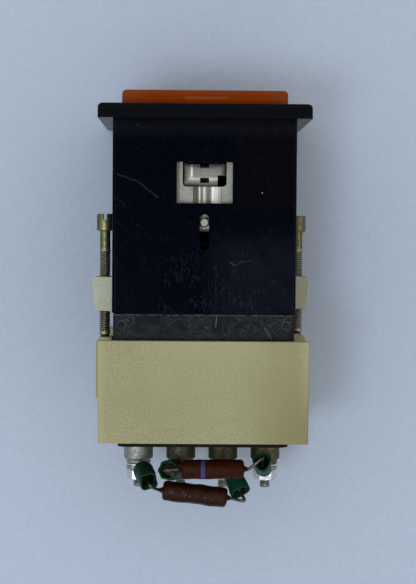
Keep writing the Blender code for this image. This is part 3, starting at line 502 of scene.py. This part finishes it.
def moulded_cream(name, pale, deep, dirt, aged=None):
    """Speckled moulding, which may be darker towards one side and paler at the front of its middle, with
    painted highlights along its side edges.
    """
    made = Finish(name, specular_ior_level=0.25)
    speckle = made.cloud(0.4 * MM, 2.0, 0.75)
    tone = made.blend(made.step(speckle, 0.34, 0.66), deep, pale)
    patch = made.step(made.cloud(9 * MM, shift=2.0), 0.4, 0.7)
    tone = made.blend(patch * 0.22, tone, tuple(part * 0.84 for part in deep))
    if aged:
        across, along, _ = made.axes()
        side = 1 - made.step(across, -24 * MM, -6 * MM)
        tone = made.blend(side * (0.35 + made.step(along, 52 * MM, 78 * MM) * 0.65), tone, aged)
        middle = made.within(across, -12 * MM, 10 * MM, 7 * MM) * (1 - made.step(along, 54 * MM, 68 * MM))
        tone = made.blend(middle * 0.6, tone, pale)
        # Painted highlights along the side edges, the right one only towards the front.
        edges = made.step(across, 23.2 * MM, 25.8 * MM)
        front = 1 - made.step(along, 56 * MM, 78 * MM)
        edges += (1 - made.step(across, -25.0 * MM, -22.2 * MM)) * front * 0.55
        tone = made.blend(edges * (0.55 + speckle * 0.6), tone, tuple(part * 1.05 for part in pale))
    spots = made.specks(2.0 * MM, 0.16 * MM) * made.step(made.cloud(4 * MM, shift=8.0), 0.46, 0.6)
    tone = made.blend(spots * 0.45, tone, dirt)
    line = made.hairlines((30 * MM, 5 * MM, 12 * MM), 0.4, 0.005)
    line = line * made.step(made.cloud(6 * MM, shift=1.0), 0.55, 0.68)
    tone = made.blend(line * 0.3, tone, dirt)
    made.set("Base Color", tone)
    made.set("Roughness", 0.55 + speckle * 0.15)
    made.bump(speckle + made.cloud(3 * MM) * 0.8 - spots, 0.03 * MM)
    return made.material


def worked_metal(name, light, dull, size, rough, tarnish):
    """Plated metal with dull patches between rubbed ones."""
    made = Finish(name, metallic=1.0)
    patch = made.step(made.cloud(size, 4.0, 0.65), 0.38, 0.66)
    tone = made.blend(patch * tarnish, light, dull)
    made.set("Base Color", tone)
    fine = made.cloud(size / 8, 2.0)
    made.set("Roughness", rough + patch * 0.16 + fine * 0.08)
    made.bump(fine * 0.6 + patch * 0.4, 0.012 * MM)
    return made.material


def yellow_zinc():
    """Passivated screws, yellow on the head and neck and worn pale on the thread, with painted shade in the
    thread's roots.
    """
    made = Finish("yellow_zinc", metallic=1.0)
    across, along, rise = made.axes()
    patch = made.step(made.cloud(1.2 * MM, 4.0, 0.65), 0.38, 0.66)
    tone = made.blend(patch * 0.6, (0.175, 0.172, 0.098), (0.08, 0.078, 0.043))
    pale = made.step(along, 31.4 * MM, 32.2 * MM) * (0.75 + patch * 0.2)
    tone = made.blend(pale, tone, (0.4, 0.392, 0.325))
    off_axis = made.reach(abs(across) - SCREW_OUT, abs(rise) - SCREW_UP)
    # Painted shade in the thread's roots.
    root = 1 - made.step(off_axis, 1.17 * MM, 1.38 * MM)
    made.set("Base Color", made.blend(root * pale, tone, (0.03, 0.029, 0.022)))
    fine = made.cloud(0.15 * MM, 2.0)
    made.set("Roughness", 0.36 + patch * 0.16 + fine * 0.08)
    made.bump(fine * 0.6 + patch * 0.4, 0.012 * MM)
    return made.material


def green_sleeve():
    """Soft green tubing with dirty patches."""
    made = Finish("green_sleeve", specular_ior_level=0.04)
    tone = made.blend(made.cloud(1.1 * MM), (0.003, 0.022, 0.0125), (0.009, 0.05, 0.027))
    grime_and_bend_shade = made.step(made.cloud(0.7 * MM, shift=4.0), 0.55, 0.72)
    tone = made.blend(grime_and_bend_shade * 0.7, tone, (0.012, 0.014, 0.008))
    made.set("Base Color", tone)
    made.set("Roughness", 0.32 + grime_and_bend_shade * 0.3)
    made.bump(made.cloud(0.6 * MM, 3.0), 0.05 * MM)
    return made.material


def brown_enamel(name, light, deep, gloss, banded):
    """Glossy dipped enamel with small pits, which may have a violet band."""
    made = Finish(name, specular_ior_level=gloss)
    tone = made.blend(made.cloud(1.6 * MM), deep, light)
    pits = made.specks(0.9 * MM, 0.14 * MM) * made.step(made.cloud(1.5 * MM, shift=3.0), 0.48, 0.6)
    tone = made.blend(pits * 0.6, tone, (0.008, 0.0035, 0.003))
    if banded:
        across, _, _ = made.axes()
        wavy = across + (made.cloud(1.2 * MM, shift=6.0) - 0.5) * (0.5 * MM)
        band = made.within(wavy, -0.7 * MM, 0.35 * MM, 0.12 * MM)
        tone = made.blend(band * 0.85, tone, (0.045, 0.045, 0.17))
    made.set("Base Color", tone)
    made.set("Roughness", 0.07 + pits * 0.3 + made.cloud(0.8 * MM) * 0.08)
    made.bump(made.cloud(1.3 * MM, 2.0) + made.cloud(0.5 * MM, 2.0) * 0.7 - pits, 0.2 * MM)
    return made.material


def laminate():
    """Brown insulating board with a weave."""
    made = Finish("laminate")
    weave = made.streaks((0.5 * MM, 5 * MM, 0.5 * MM))
    made.set("Base Color", made.blend(weave, (0.2, 0.1, 0.04), (0.3, 0.17, 0.08)))
    made.set("Roughness", 0.5 + weave * 0.2)
    made.bump(weave, 0.02 * MM)
    return made.material


def lamp_glass():
    """Clear glass with a faint film."""
    made = Finish("lamp_glass", transmission_weight=0.9, ior=1.5)
    film = made.cloud(2 * MM)
    made.set("Base Color", made.blend(film, (0.85, 0.86, 0.84), (0.95, 0.95, 0.93)))
    made.set("Roughness", 0.04 + film * 0.1)
    made.bump(made.cloud(4 * MM, 1.0), 0.02 * MM)
    return made.material


def table_top():
    """A pale table with a fine grain."""
    made = Finish("table_top", specular_ior_level=0.2)
    fibre = made.cloud(1.1 * MM, 4.0, 0.65)
    tone = made.blend(made.step(fibre, 0.3, 0.7), (0.328, 0.393, 0.515), (0.36, 0.43, 0.56))
    tone = made.blend(made.cloud(90 * MM) * 0.4, tone, (0.395, 0.47, 0.605))
    made.set("Base Color", tone)
    made.set("Roughness", 0.6 + fibre * 0.2)
    made.bump(fibre, 0.05 * MM)
    return made.material


BLACK = black_plastic()
GREY = grey_plastic()
ORANGE = orange_lens()
NICKEL = nickel()
RECESS = recess_nickel()
# Each moulding's pale and deep tones, its dirt and the tone of its aged side
CREAM = moulded_cream(
    "khaki_moulding", (0.278, 0.274, 0.159), (0.21, 0.207, 0.116), (0.1, 0.09, 0.055), (0.18, 0.167, 0.08),
)
PALE = {
    "left": moulded_cream("pale_moulding", (0.43, 0.45, 0.36), (0.33, 0.35, 0.275), (0.18, 0.17, 0.12)),
    # The right block's copy is darker, as painted shade.
    "right": moulded_cream("pale_moulding_in_painted_shade", (0.38, 0.395, 0.317), (0.31, 0.325, 0.255), (0.16, 0.15, 0.11)),
}
ZINC = yellow_zinc()
# Each metal's light and dull tones, the size of its patches, its roughness and its share of tarnish
BRIGHT = worked_metal("bright_plate", (0.75, 0.76, 0.75), (0.5, 0.51, 0.48), 1.4 * MM, 0.2, 0.5)
SATIN = worked_metal("satin_plate", (0.34, 0.34, 0.325), (0.2, 0.2, 0.185), 1.1 * MM, 0.46, 0.6)
# The darker plate also serves as painted shade on terminal posts 2 to 4.
DULL_AND_SHADED = worked_metal("dull_and_shaded_plate", (0.12, 0.114, 0.08), (0.06, 0.057, 0.038), 1.4 * MM, 0.48, 0.7)
THREAD = worked_metal("worn_thread", (0.3, 0.295, 0.26), (0.12, 0.115, 0.09), 0.9 * MM, 0.32, 0.7)
TIN = worked_metal("tinned_copper", (0.4, 0.39, 0.34), (0.17, 0.155, 0.11), 0.9 * MM, 0.32, 0.7)
WIRE = worked_metal("browned_wire", (0.04, 0.028, 0.02), (0.014, 0.0095, 0.007), 0.8 * MM, 0.36, 0.7)
LEAD = worked_metal("stained_lead", (0.15, 0.13, 0.11), (0.035, 0.026, 0.02), 0.8 * MM, 0.32, 0.7)
BRASS = worked_metal("brass", (0.5, 0.37, 0.14), (0.3, 0.2, 0.07), 2.0 * MM, 0.3, 0.5)
SPRING_STEEL = worked_metal("spring_steel", (0.2, 0.2, 0.195), (0.1, 0.1, 0.095), 1.5 * MM, 0.36, 0.4)
GREEN = green_sleeve()
# Each enamel's light and deep tones, its gloss and whether it has a band
ENAMEL = {
    "upper": brown_enamel("banded_enamel", (0.036, 0.0078, 0.003), (0.017, 0.0034, 0.0014), 0.05, True),
    "lower": brown_enamel("brown_enamel", (0.026, 0.0056, 0.0022), (0.009, 0.0021, 0.001), 0.11, False),
}
LAMINATE = laminate()
GLASS = lamp_glass()


# Meshes


def placed(name, data):
    """A new object in the scene."""
    made = bpy.data.objects.new(name, data)
    bpy.context.scene.collection.objects.link(made)
    return made


def piece(name, mesh, finish, body, slot, *nodes, sharp=35):
    """Show a mesh on a body, in place of any solids named. Edges over an angle in degrees stay sharp."""
    made = placed(name, mesh)
    mesh.materials.clear()
    mesh.materials.append(finish)
    mesh.shade_smooth()
    mesh.set_sharp_from_angle(angle=math.radians(sharp))
    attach(made, body)
    if nodes:
        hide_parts(*nodes)
    return made


def keep(node, finish):
    """Give a solid that stays its finish."""
    solid = frame["nodes"][node]
    for slot in solid.material_slots:
        slot.material = finish


def mesh_of(shell, name):
    """The mesh of a shell, which is used up."""
    mesh = bpy.data.meshes.new(name)
    shell.to_mesh(mesh)
    shell.free()
    return mesh


def softened(node, width):
    """A solid's mesh with its sharp edges rounded."""
    shell = bmesh.new()
    shell.from_mesh(frame["nodes"][node].data)
    bmesh.ops.remove_doubles(shell, verts=shell.verts, dist=SAME_PLACE)
    bmesh.ops.dissolve_limit(shell, angle_limit=FLAT_ANGLE, verts=shell.verts, edges=shell.edges)
    edges = [edge for edge in shell.edges if edge.calc_face_angle(0) > EDGE_ANGLE]
    shape = {"segments": EDGE_STEPS, "profile": 0.5, "affect": "EDGES", "clamp_overlap": True}
    bmesh.ops.bevel(shell, geom=edges, offset=width, **shape)
    return mesh_of(shell, node + "_soft")


def rounded_piece(node, finish, body, slot, edge):
    """Show a solid with its sharp edges rounded."""
    made = piece(node + "_shell", softened(node, edge), finish, body, slot, node, sharp=50)
    normals = made.modifiers.new("flat faces", "WEIGHTED_NORMAL")
    normals.keep_sharp = True


def angles(around):
    """Even steps round a turn."""
    return [2 * math.pi * step / around for step in range(around)]


def ring(shell, radius, y, around, shape=None):
    """Corners round Y, or one on it where the radius is 0."""
    if radius == 0:
        return [shell.verts.new((0, y, 0))]
    corners = []
    for angle in angles(around):
        out = shape(radius, y, angle) if shape else radius
        corners.append(shell.verts.new((out * math.cos(angle), y, out * math.sin(angle))))
    return corners


def skinned(shell, rings, name):
    """The mesh of a shell with faces from each ring of corners to the next."""
    for first, second in zip(rings, rings[1:]):
        around = max(len(first), len(second))
        for step in range(around):
            after = (step + 1) % around
            corners = [first[step % len(first)], first[after % len(first)]]
            corners += [second[after % len(second)], second[step % len(second)]]
            shell.faces.new(list(dict.fromkeys(corners)))
    bmesh.ops.recalc_face_normals(shell, faces=shell.faces)
    return mesh_of(shell, name)


def capped(shell, rings, name):
    """The mesh of a shell skinned over its rings and closed at both ends."""
    shell.faces.new(rings[0][::-1])
    shell.faces.new(rings[-1])
    return skinned(shell, rings, name)


def turned(name, profile, around=40, shape=None):
    """Turn a profile of radius and Y about Y. It starts and ends on the axis, or else it closes on itself."""
    shell = bmesh.new()
    rings = [ring(shell, radius, y, around, shape) for radius, y in profile]
    if profile[0][0] > 0:
        rings.append(rings[0])
    return skinned(shell, rings, name)


def carved(mesh, tool, operation):
    """A mesh after a cut with another one."""
    body = placed("carved", mesh)
    cutter = placed("cutter", tool)
    change = body.modifiers.new("cut", "BOOLEAN")
    change.operation = operation
    change.object = cutter
    change.solver = "EXACT"
    bpy.context.view_layer.update()
    made = bpy.data.meshes.new_from_object(body.evaluated_get(bpy.context.evaluated_depsgraph_get()))
    made.name = mesh.name
    for each in (body, cutter):
        bpy.data.objects.remove(each, do_unlink=True)
    return made


def block_mesh(low, high):
    """A block between two corners."""
    shell = bmesh.new()
    bmesh.ops.create_cube(shell, size=1.0)
    bmesh.ops.scale(shell, vec=Vector(high) - Vector(low), verts=shell.verts)
    bmesh.ops.translate(shell, vec=(Vector(high) + Vector(low)) / 2, verts=shell.verts)
    return mesh_of(shell, "block")


def thread(pitch, depth, front, rear):
    """A shape that winds a right-hand thread between two places."""

    def shape(radius, y, angle):
        if not front <= y <= rear:
            return radius
        wave = (y / pitch - angle / (2 * math.pi)) % 1.0
        fade = min(1.0, (y - front) / pitch, (rear - y) / pitch)
        return radius - depth * abs(2 * wave - 1) * fade
    return shape


def fine_rows(radius, rear, front, spacing):
    """Rows of one radius at about a spacing, for a shape to work on."""
    count = max(1, round((rear - front) / spacing))
    return [(radius, rear + (front - rear) * step / count) for step in range(count + 1)]


def rear_end(radius, y, edge, steps=4):
    """Rows that round a profile's corner from its rear end onto its side."""
    turns = [math.pi / 2 * step / steps for step in range(steps + 1)]
    return [(radius - edge + edge * math.sin(turn), y - edge * (1 - math.cos(turn))) for turn in turns]


def front_end(radius, y, edge, steps=4):
    """Rows that round a profile's corner from its side onto its front end."""
    return [(out, -place) for out, place in reversed(rear_end(radius, -y, edge, steps))]


# Terminals


def terminal_places():
    """The terminals' places across, from left to right in the photograph."""
    first = TERMINAL_PITCH * (TERMINALS - 1) / 2
    return [first - TERMINAL_PITCH * index for index in range(TERMINALS)]


def moved(mesh, at, turn=Matrix.Identity(3)):
    """A mesh after a turn about the origin and a move."""
    mesh.transform(Matrix.Translation(at) @ turn.to_4x4())
    return mesh


def posts():
    """Each post is turned, with a chamfer, eased at both ends, up to a narrow seat for the washer."""
    wide = 3.75 * MM
    seat = WASHER_RADIUS
    edge = 0.2 * MM
    shoulder = POST_REAR - 0.75 * MM
    slope = wide - seat
    eased = [(0.0, 0.0), (0.15, 0.1), (0.85, 0.9), (1.0, 1.0)]
    profile = rear_end(seat, POST_REAR, edge)
    profile += [(seat + slope * out, shoulder - slope * forward) for out, forward in eased]
    profile += front_end(wide, POST_FRONT, edge)
    profile += [(HOLE_RADIUS, POST_FRONT), (HOLE_RADIUS, POST_REAR)]
    for number, x in enumerate(terminal_places(), 1):
        mesh = moved(turned("post", profile, around=48), (x, 0, 0))
        # Post 1 takes the lit plate; posts 2 to 4 take the darker plate as painted shade.
        finish = SATIN if number == 1 else DULL_AND_SHADED
        name = f"terminal_post_{number}"
        piece(name + "_turned", mesh, finish, "housing", "steel", name)


def washers():
    """Washers with soft edges, bright on the two outer terminals."""
    edge = 0.14 * MM
    profile = rear_end(WASHER_RADIUS, WASHER_REAR, edge)
    profile += front_end(WASHER_RADIUS, WASHER_FRONT, edge)
    profile += [(HOLE_RADIUS, WASHER_FRONT), (HOLE_RADIUS, WASHER_REAR)]
    for number, x in enumerate(terminal_places(), 1):
        mesh = moved(turned("washer", profile), (x, 0, 0))
        finish = BRIGHT if number in (1, TERMINALS) else DULL_AND_SHADED
        name = f"terminal_washer_{number}"
        piece(name + "_pressed", mesh, finish, "housing", "steel", name)


def studs():
    """Studs with a thread behind their posts and a chamfered end."""
    radius = 1.3 * MM
    head = 2.2 * MM
    pitch = 0.45 * MM
    depth = 0.2 * MM
    edge = 0.3 * MM
    start = POST_REAR - 1 * MM
    end = STUD_REAR - edge
    profile = [(0, STUD_REAR), (radius - edge, STUD_REAR)]
    profile += fine_rows(radius, end, start, pitch / THREAD_ROWS)
    profile += [(radius, STUD_HEAD_REAR), (head, STUD_HEAD_REAR)]
    profile += [(head, STUD_HEAD_FRONT), (0, STUD_HEAD_FRONT)]
    for number, x in enumerate(terminal_places(), 1):
        mesh = turned("stud", profile, around=28, shape=thread(pitch, depth, start, end))
        name = f"terminal_stud_{number}"
        piece(name + "_threaded", moved(mesh, (x, 0, 0)), THREAD, "housing", "steel", name)


def nut_mesh():
    """A hexagon with chamfered corners and a countersunk bore."""
    flats = 5.3 * MM
    corner = flats / 2 / math.cos(math.pi / 6)
    rim = flats / 2 * 0.97
    chamfer = math.radians(30)
    fall = (corner - rim) * math.tan(chamfer)
    shell = bmesh.new()
    prism = capped(shell, [ring(shell, corner, y, 6) for y in (NUT_REAR, NUT_FRONT)], "nut")
    wide = corner * 1.05
    drop = fall * (wide - rim) / (corner - rim)
    lens = [(0, NUT_REAR), (rim, NUT_REAR), (wide, NUT_REAR - drop)]
    lens += [(wide, NUT_FRONT + drop), (rim, NUT_FRONT), (0, NUT_FRONT)]
    mesh = carved(prism, turned("lens", lens, around=48), "INTERSECT")
    sink = 0.3 * MM
    past = 1 * MM
    mouth = HOLE_RADIUS + sink + past
    bore = [(0, NUT_REAR + past), (mouth, NUT_REAR + past), (HOLE_RADIUS, NUT_REAR - sink)]
    bore += [(HOLE_RADIUS, NUT_FRONT + sink), (mouth, NUT_FRONT - past), (0, NUT_FRONT - past)]
    return carved(mesh, turned("bore", bore, around=32), "DIFFERENCE")


def nuts():
    """A nut on each stud."""
    for number, x in enumerate(terminal_places(), 1):
        name = f"terminal_nut_{number}"
        piece(name + "_chamfered", moved(nut_mesh(), (x, 0, 0)), BRIGHT, "housing", "steel", name, sharp=20)


# Lugs, sleeves and resistors


def lug_frame(index):
    """The end of a lug's neck, its barrel's direction and the turn of Y onto that direction."""
    roll, bend = (math.radians(angle) for angle in LUG_AIMS[index])
    up = Vector((math.sin(roll), 0, math.cos(roll)))
    aim = up * math.cos(bend) + Vector((0, math.sin(bend), 0))
    centre = Vector((terminal_places()[index], LUG_MIDDLE, 0))
    return centre + up * LUG_NECK, aim, Vector((0, 1, 0)).rotation_difference(aim).to_matrix()


def uneven(amount, size, seed):
    """A shape whose radius wavers by an amount, in lumps of a size, as a dipped skin does."""

    def shape(radius, y, angle):
        spot = Vector((math.cos(angle) * radius, y, math.sin(angle) * radius)) / size
        return radius + amount * noise.noise(spot + Vector((seed, 0, 0)))
    return shape


def crumpled(pinch, lobes, hug, low, end, seed):
    """A sleeve's shape, which hugs the barrel and is pinched into flats towards its open end."""
    wavers = uneven(amount=0.2 * MM, size=1.8 * MM, seed=seed)

    def shape(radius, y, angle):
        share = max(0.0, (y - low) / (end - low))
        flats = 0.5 + 0.5 * math.cos(lobes * angle + seed)
        return wavers(radius, y, angle) * (1 - pinch * share ** 1.5 * flats) * (1 - hug * (1 - share))
    return shape


def sleeves():
    """Green tubes on the lugs' barrels."""
    outer = 2.65 * MM
    inner = 1.8 * MM
    mouth = 2.1 * MM
    edge = 0.25 * MM
    end = SLEEVE_LIFT + SLEEVE_LENGTH
    flare = end - 2 * MM
    profile = rear_end(outer, end, edge)
    profile += fine_rows(outer, end - 2 * edge, SLEEVE_LIFT + 2 * edge, spacing=0.5 * MM)
    profile += front_end(outer, SLEEVE_LIFT, edge)
    profile += [(inner, SLEEVE_LIFT), (inner, flare), (mouth, end - edge), (mouth + edge / 2, end)]
    for index, (pinch, lobes, hug) in enumerate(SLEEVE_PINCHES):
        start, _, turn = lug_frame(index)
        shape = crumpled(pinch, lobes, hug, SLEEVE_LIFT, end, seed=5.0 * index)
        mesh = turned("sleeve", profile, around=48, shape=shape)
        name = f"lug_sleeve_{index + 1}"
        piece(name + "_soft", moved(mesh, start, turn), GREEN, "housing", "green_sleeve", name, sharp=60)


def resistor_turn(degrees):
    """The turn of Y onto a resistor's left end."""
    return Matrix.Rotation(math.radians(degrees - 90), 3, "Z")


def resistor_bodies():
    """Dipped bodies with full ends and an uneven coat, which runs a little way onto the leads."""
    bend = 1.0 * MM
    run = 0.9 * MM
    tip = 0.45 * MM
    root = 1.0 * MM
    nib = [(0, run), (tip, run), (tip * 1.4, run * 0.4), (root, 0)]
    seeds = {"upper": 3.0, "lower": 9.0}
    for side, (centre, degrees, growth, _) in RESISTORS.items():
        radius = RESISTOR_RADIUS * growth
        half = RESISTOR_LENGTH / 2 * growth
        profile = [(out, half + past) for out, past in nib]
        profile += rear_end(radius, half, bend, steps=6)
        profile += fine_rows(radius, half - bend * 1.3, -half + bend * 1.3, spacing=0.7 * MM)
        profile += front_end(radius, -half, bend, steps=6)
        profile += [(out, -half - past) for out, past in reversed(nib)]
        coat = uneven(amount=0.2 * MM, size=2.6 * MM, seed=seeds[side])
        mesh = moved(turned("coat", profile, shape=coat), centre, resistor_turn(degrees))
        name = f"resistor_{side}"
        piece(name + "_dipped", mesh, ENAMEL[side], "housing", "brown_enamel", name, sharp=60)


def smooth_route(route, steps):
    """Points of a smooth curve through a route."""
    padded = [route[0] * 2 - route[1]] + route + [route[-1] * 2 - route[-2]]
    points = []
    for before, here, after, beyond in zip(padded, padded[1:], padded[2:], padded[3:]):
        for step in range(steps):
            part = step / steps
            bend = (after - before) * part
            bend += (before * 2 - here * 5 + after * 4 - beyond) * part ** 2
            bend += (here * 3 - before - after * 3 + beyond) * part ** 3
            points.append(here + bend / 2)
    return points + [route[-1]]


def wire_mesh(name, route, radius, around=14):
    """A round wire along a route, closed at both ends."""
    shell = bmesh.new()
    side = (route[1] - route[0]).orthogonal()
    rings = []
    for index, spot in enumerate(route):
        before = route[max(index - 1, 0)]
        after = route[min(index + 1, len(route) - 1)]
        along = (after - before).normalized()
        side = (side - along * side.dot(along)).normalized()
        other = along.cross(side)
        spokes = [side * math.cos(angle) + other * math.sin(angle) for angle in angles(around)]
        rings.append([shell.verts.new(spot + spoke * radius) for spoke in spokes])
    return capped(shell, rings, name)


def leads():
    """Wires from the resistors' ends into the lugs' barrels."""
    for side, (centre, degrees, growth, ends) in RESISTORS.items():
        half = RESISTOR_LENGTH / 2 * growth
        along = resistor_turn(degrees) @ Vector((0, 1, 0))
        for hand, index, sign in (("left", ends[0], 1), ("right", ends[1], -1)):
            start, aim, _ = lug_frame(index)
            mouth = start + aim * (SLEEVE_LIFT + SLEEVE_LENGTH)
            outward = along * sign
            end = centre + outward * half
            route = [start + aim * (BARREL_LENGTH - LEAD_DEPTH), mouth, mouth + aim * LEAD_RISE]
            route += [end + outward * (SEAT + LEAD_STUB), end - outward * LEAD_SUNK]
            name = f"resistor_{side}_lead_{hand}"
            mesh = wire_mesh(name, smooth_route(route, steps=8), LEAD_RADIUS)
            piece(name + "_wire", mesh, LEAD, "housing", "tinned_copper", name, sharp=60)


def solder():
    """A cone of solder fills each barrel's mouth round its wire."""
    low = BARREL_LENGTH - 0.1 * MM
    foot = 1.5 * MM
    top = 1.7 * MM
    profile = [(0, low + top), (0.42 * MM, low + top), (0.6 * MM, low + 1.1 * MM), (1.1 * MM, low + 0.5 * MM)]
    profile += [(foot, low + 0.12 * MM), (foot, low), (0, low)]
    for index in range(TERMINALS):
        start, _, turn = lug_frame(index)
        lumps = uneven(amount=0.14 * MM, size=1.0 * MM, seed=4.0 * index)
        mesh = turned("solder", profile, around=28, shape=lumps)
        finish = TIN if index == 1 else WIRE
        piece(f"solder_{index + 1}", moved(mesh, start, turn), finish, "housing", "tinned_copper", sharp=60)


# Clamp


def screw_mesh():
    """A slotted screw with a plain neck, a fine thread and a pivot, on the Y axis."""
    pitch = 0.5 * MM
    depth = 0.3 * MM
    head = 2.1 * MM
    neck = 1.3 * MM
    wide = 1.45 * MM
    pivot = 1.1 * MM
    front = 23.0 * MM
    head_end = 27.2 * MM
    neck_start = head_end + 0.1 * MM
    neck_end = 31.9 * MM
    thread_start = neck_end + 0.15 * MM
    thread_end = 52.9 * MM
    pivot_start = 53.6 * MM
    pivot_end = 57.5 * MM
    edge = 0.3 * MM
    profile = [(0, pivot_end), (pivot - edge / 2, pivot_end)]
    profile += [(pivot, pivot_end - edge / 2), (pivot, pivot_start)]
    profile += fine_rows(wide, thread_end, thread_start, pitch / THREAD_ROWS)
    profile += [(neck, neck_end), (neck, neck_start)]
    profile += rear_end(head, head_end, edge / 2)
    profile += front_end(head, front, edge) + [(0, front)]
    mesh = turned("screw", profile, around=36, shape=thread(pitch, depth, thread_start, thread_end))
    half = 0.415 * MM
    slot_depth = 1.5 * MM
    past = 4 * MM
    slot = block_mesh((-half, front - past, -past), (half, front + slot_depth, past))
    return carved(mesh, slot, "DIFFERENCE")


def clamp_screws():
    """A screw on each side. The right one lies half a turn round the Y axis from the left one."""
    for half_turns, (side, degrees) in enumerate(SCREW_TURNS.items()):
        about = Matrix.Rotation(math.pi * half_turns, 3, "Y")
        place = about @ Vector((SCREW_OUT, 0, SCREW_UP))
        mesh = moved(screw_mesh(), place, about @ Matrix.Rotation(math.radians(degrees), 3, "Y"))
        name = f"clamp_screw_{side}"
        piece(name + "_threaded", mesh, ZINC, f"screw_{side}", "yellow_zinc", name, sharp=40)


def mouldings():
    """The moulded pieces, with soft edges."""
    rounded_piece("housing", BLACK, "housing", "black_plastic", edge=0.18 * MM)
    rounded_piece("rear_base", GREY, "housing", "grey_plastic", edge=0.15 * MM)
    rounded_piece("lens_cap", ORANGE, "button", "orange_lens", edge=0.15 * MM)
    rounded_piece("clamp_collar", CREAM, "collar", "cream_plastic", edge=0.22 * MM)
    for side, finish in PALE.items():
        rounded_piece(f"clamp_block_{side}", finish, f"block_{side}", "pale_plastic", edge=0.45 * MM)


def pressed_bracket():
    """The bracket's bends run right up to the sheet round the carriage's opening."""
    mesh = softened("lamp_bracket", width=0.08 * MM)
    places = [vertex.co for vertex in mesh.vertices]
    half = max(place.x for place in places)
    front = min(place.y for place in places)
    rear = max(place.y for place in places)
    wide = YOKE_WIDTH / 2 / half
    long = (YOKE_END - front) / (rear - front)
    for vertex in mesh.vertices:
        vertex.co.x *= wide
        vertex.co.y = front + (vertex.co.y - front) * long
    piece("lamp_bracket_pressed", mesh, RECESS, "button", "nickel", "lamp_bracket", sharp=50)


def flute_ribs():
    """Drawn lines along the carriage's flute."""
    centre = Vector((FLUTE_SHIFT, 0, CARRIAGE_TOP + FLUTE_RADIUS - FLUTE_DEPTH))
    front = Vector((0, YOKE_END + 0.1 * MM, 0))
    rear = Vector((0, FLUTE_END - 0.2 * MM, 0))
    sunk = 0.6
    for x, radius in FLUTE_RIBS:
        lean = math.asin((x - FLUTE_SHIFT) / FLUTE_RADIUS)
        reach = FLUTE_RADIUS + radius * sunk
        spot = centre + Vector((math.sin(lean), 0, -math.cos(lean))) * reach
        mesh = wire_mesh("rib", [spot + front, spot + rear], radius, around=20)
        piece("flute_rib", mesh, NICKEL, "button", "nickel", sharp=60)


def coil_spring():
    """The spring behind the plunger."""
    low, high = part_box("return_spring")
    front = low[1] + SPRING_WIRE
    rear = high[1] - SPRING_WIRE
    around = 32
    count = SPRING_TURNS * around
    route = []
    for step in range(count + 1):
        angle = 2 * math.pi * step / around
        y = front + (rear - front) * step / count
        route.append(Vector((SPRING_RADIUS * math.cos(angle), y, SPRING_RADIUS * math.sin(angle))))
    mesh = wire_mesh("coil", route, SPRING_WIRE, around=12)
    made = piece("coil_spring", mesh, SPRING_STEEL, "housing", "steel", "return_spring", sharp=60)
    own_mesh(made)


def kept_solids():
    """Solids that are shown as they are."""
    finishes = {
        "guide_plate": LAMINATE,
        "lamp_base": BRASS,
        "contact_bridge": BRASS,
        "lamp_glass": GLASS,
        "plunger": GREY,
        "lamp_carriage": NICKEL,
        "guide_pin": NICKEL,
        "lamp_socket": NICKEL,
    }
    for number in range(1, TERMINALS + 1):
        finishes[f"ring_lug_{number}"] = TIN
    for node, finish in finishes.items():
        keep(node, finish)


# Table, light and camera


def table():
    """A wide flat table under the part."""
    mesh = bpy.data.meshes.new("table")
    half = TABLE_SIZE / 2
    corners = [(-half, -half), (half, -half), (half, half), (-half, half)]
    mesh.from_pydata([(x, y, TABLE_TOP) for x, y in corners], [], [(0, 1, 2, 3)])
    mesh.materials.append(table_top())
    made = placed("table", mesh)


def room_light():
    """Even light from a wide ring overhead, dark straight above, at the camera, and dim low down."""
    world = bpy.data.worlds.new("room")
    bpy.context.scene.world = world
    made = Tree(world)
    height = made.split(made.node("TexCoord", output="Generated"))[2]
    tones = made.node("ValToRGB", {"stops": ROOM_TONES}, {0: height})
    made.join(made.nodes["Background"].inputs["Color"], tones)


def lamp():
    """A soft lamp, high on the photograph's lower left."""
    light = bpy.data.lights.new("lamp", "AREA")
    light.shape = "DISK"
    light.size = LAMP_SIZE
    light.energy = LAMP_POWER
    light.color = LAMP_COLOUR
    made = placed("lamp", light)
    away = LAMP_LEAN.normalized()
    made.location = LAMP_AIM + away * LAMP_DISTANCE
    made.rotation_euler = away.to_track_quat("Z", "Y").to_euler()


def camera():
    """The photograph's camera looks down with its top towards the cap."""
    right = Vector((-math.cos(ROLL), -math.sin(ROLL), 0))
    down = Vector((-math.sin(ROLL), math.cos(ROLL), 0))
    sight = Vector((0, 0, -FOCAL)) + right * NADIR_LEFT + down * NADIR_ABOVE
    back = -sight.normalized()
    across = (right - back * right.dot(back)).normalized()
    up = back.cross(across)
    lens = bpy.data.cameras.new("camera")
    lens.sensor_width = SENSOR
    lens.lens = FOCAL / PHOTO_HEIGHT * SENSOR
    lens.clip_start = NEAREST
    made = placed("camera", lens)
    turn = Matrix((across, up, back)).transposed()
    made.matrix_world = Matrix.Translation(CAMERA_AT) @ turn.to_4x4()
    bpy.context.scene.camera = made


camera()
table()
room_light()
lamp()
bpy.context.scene.view_settings.view_transform = "Standard"

mouldings()
pressed_bracket()
flute_ribs()
coil_spring()
kept_solids()
posts()
washers()
studs()
nuts()
sleeves()
resistor_bodies()
leads()
solder()
clamp_screws()
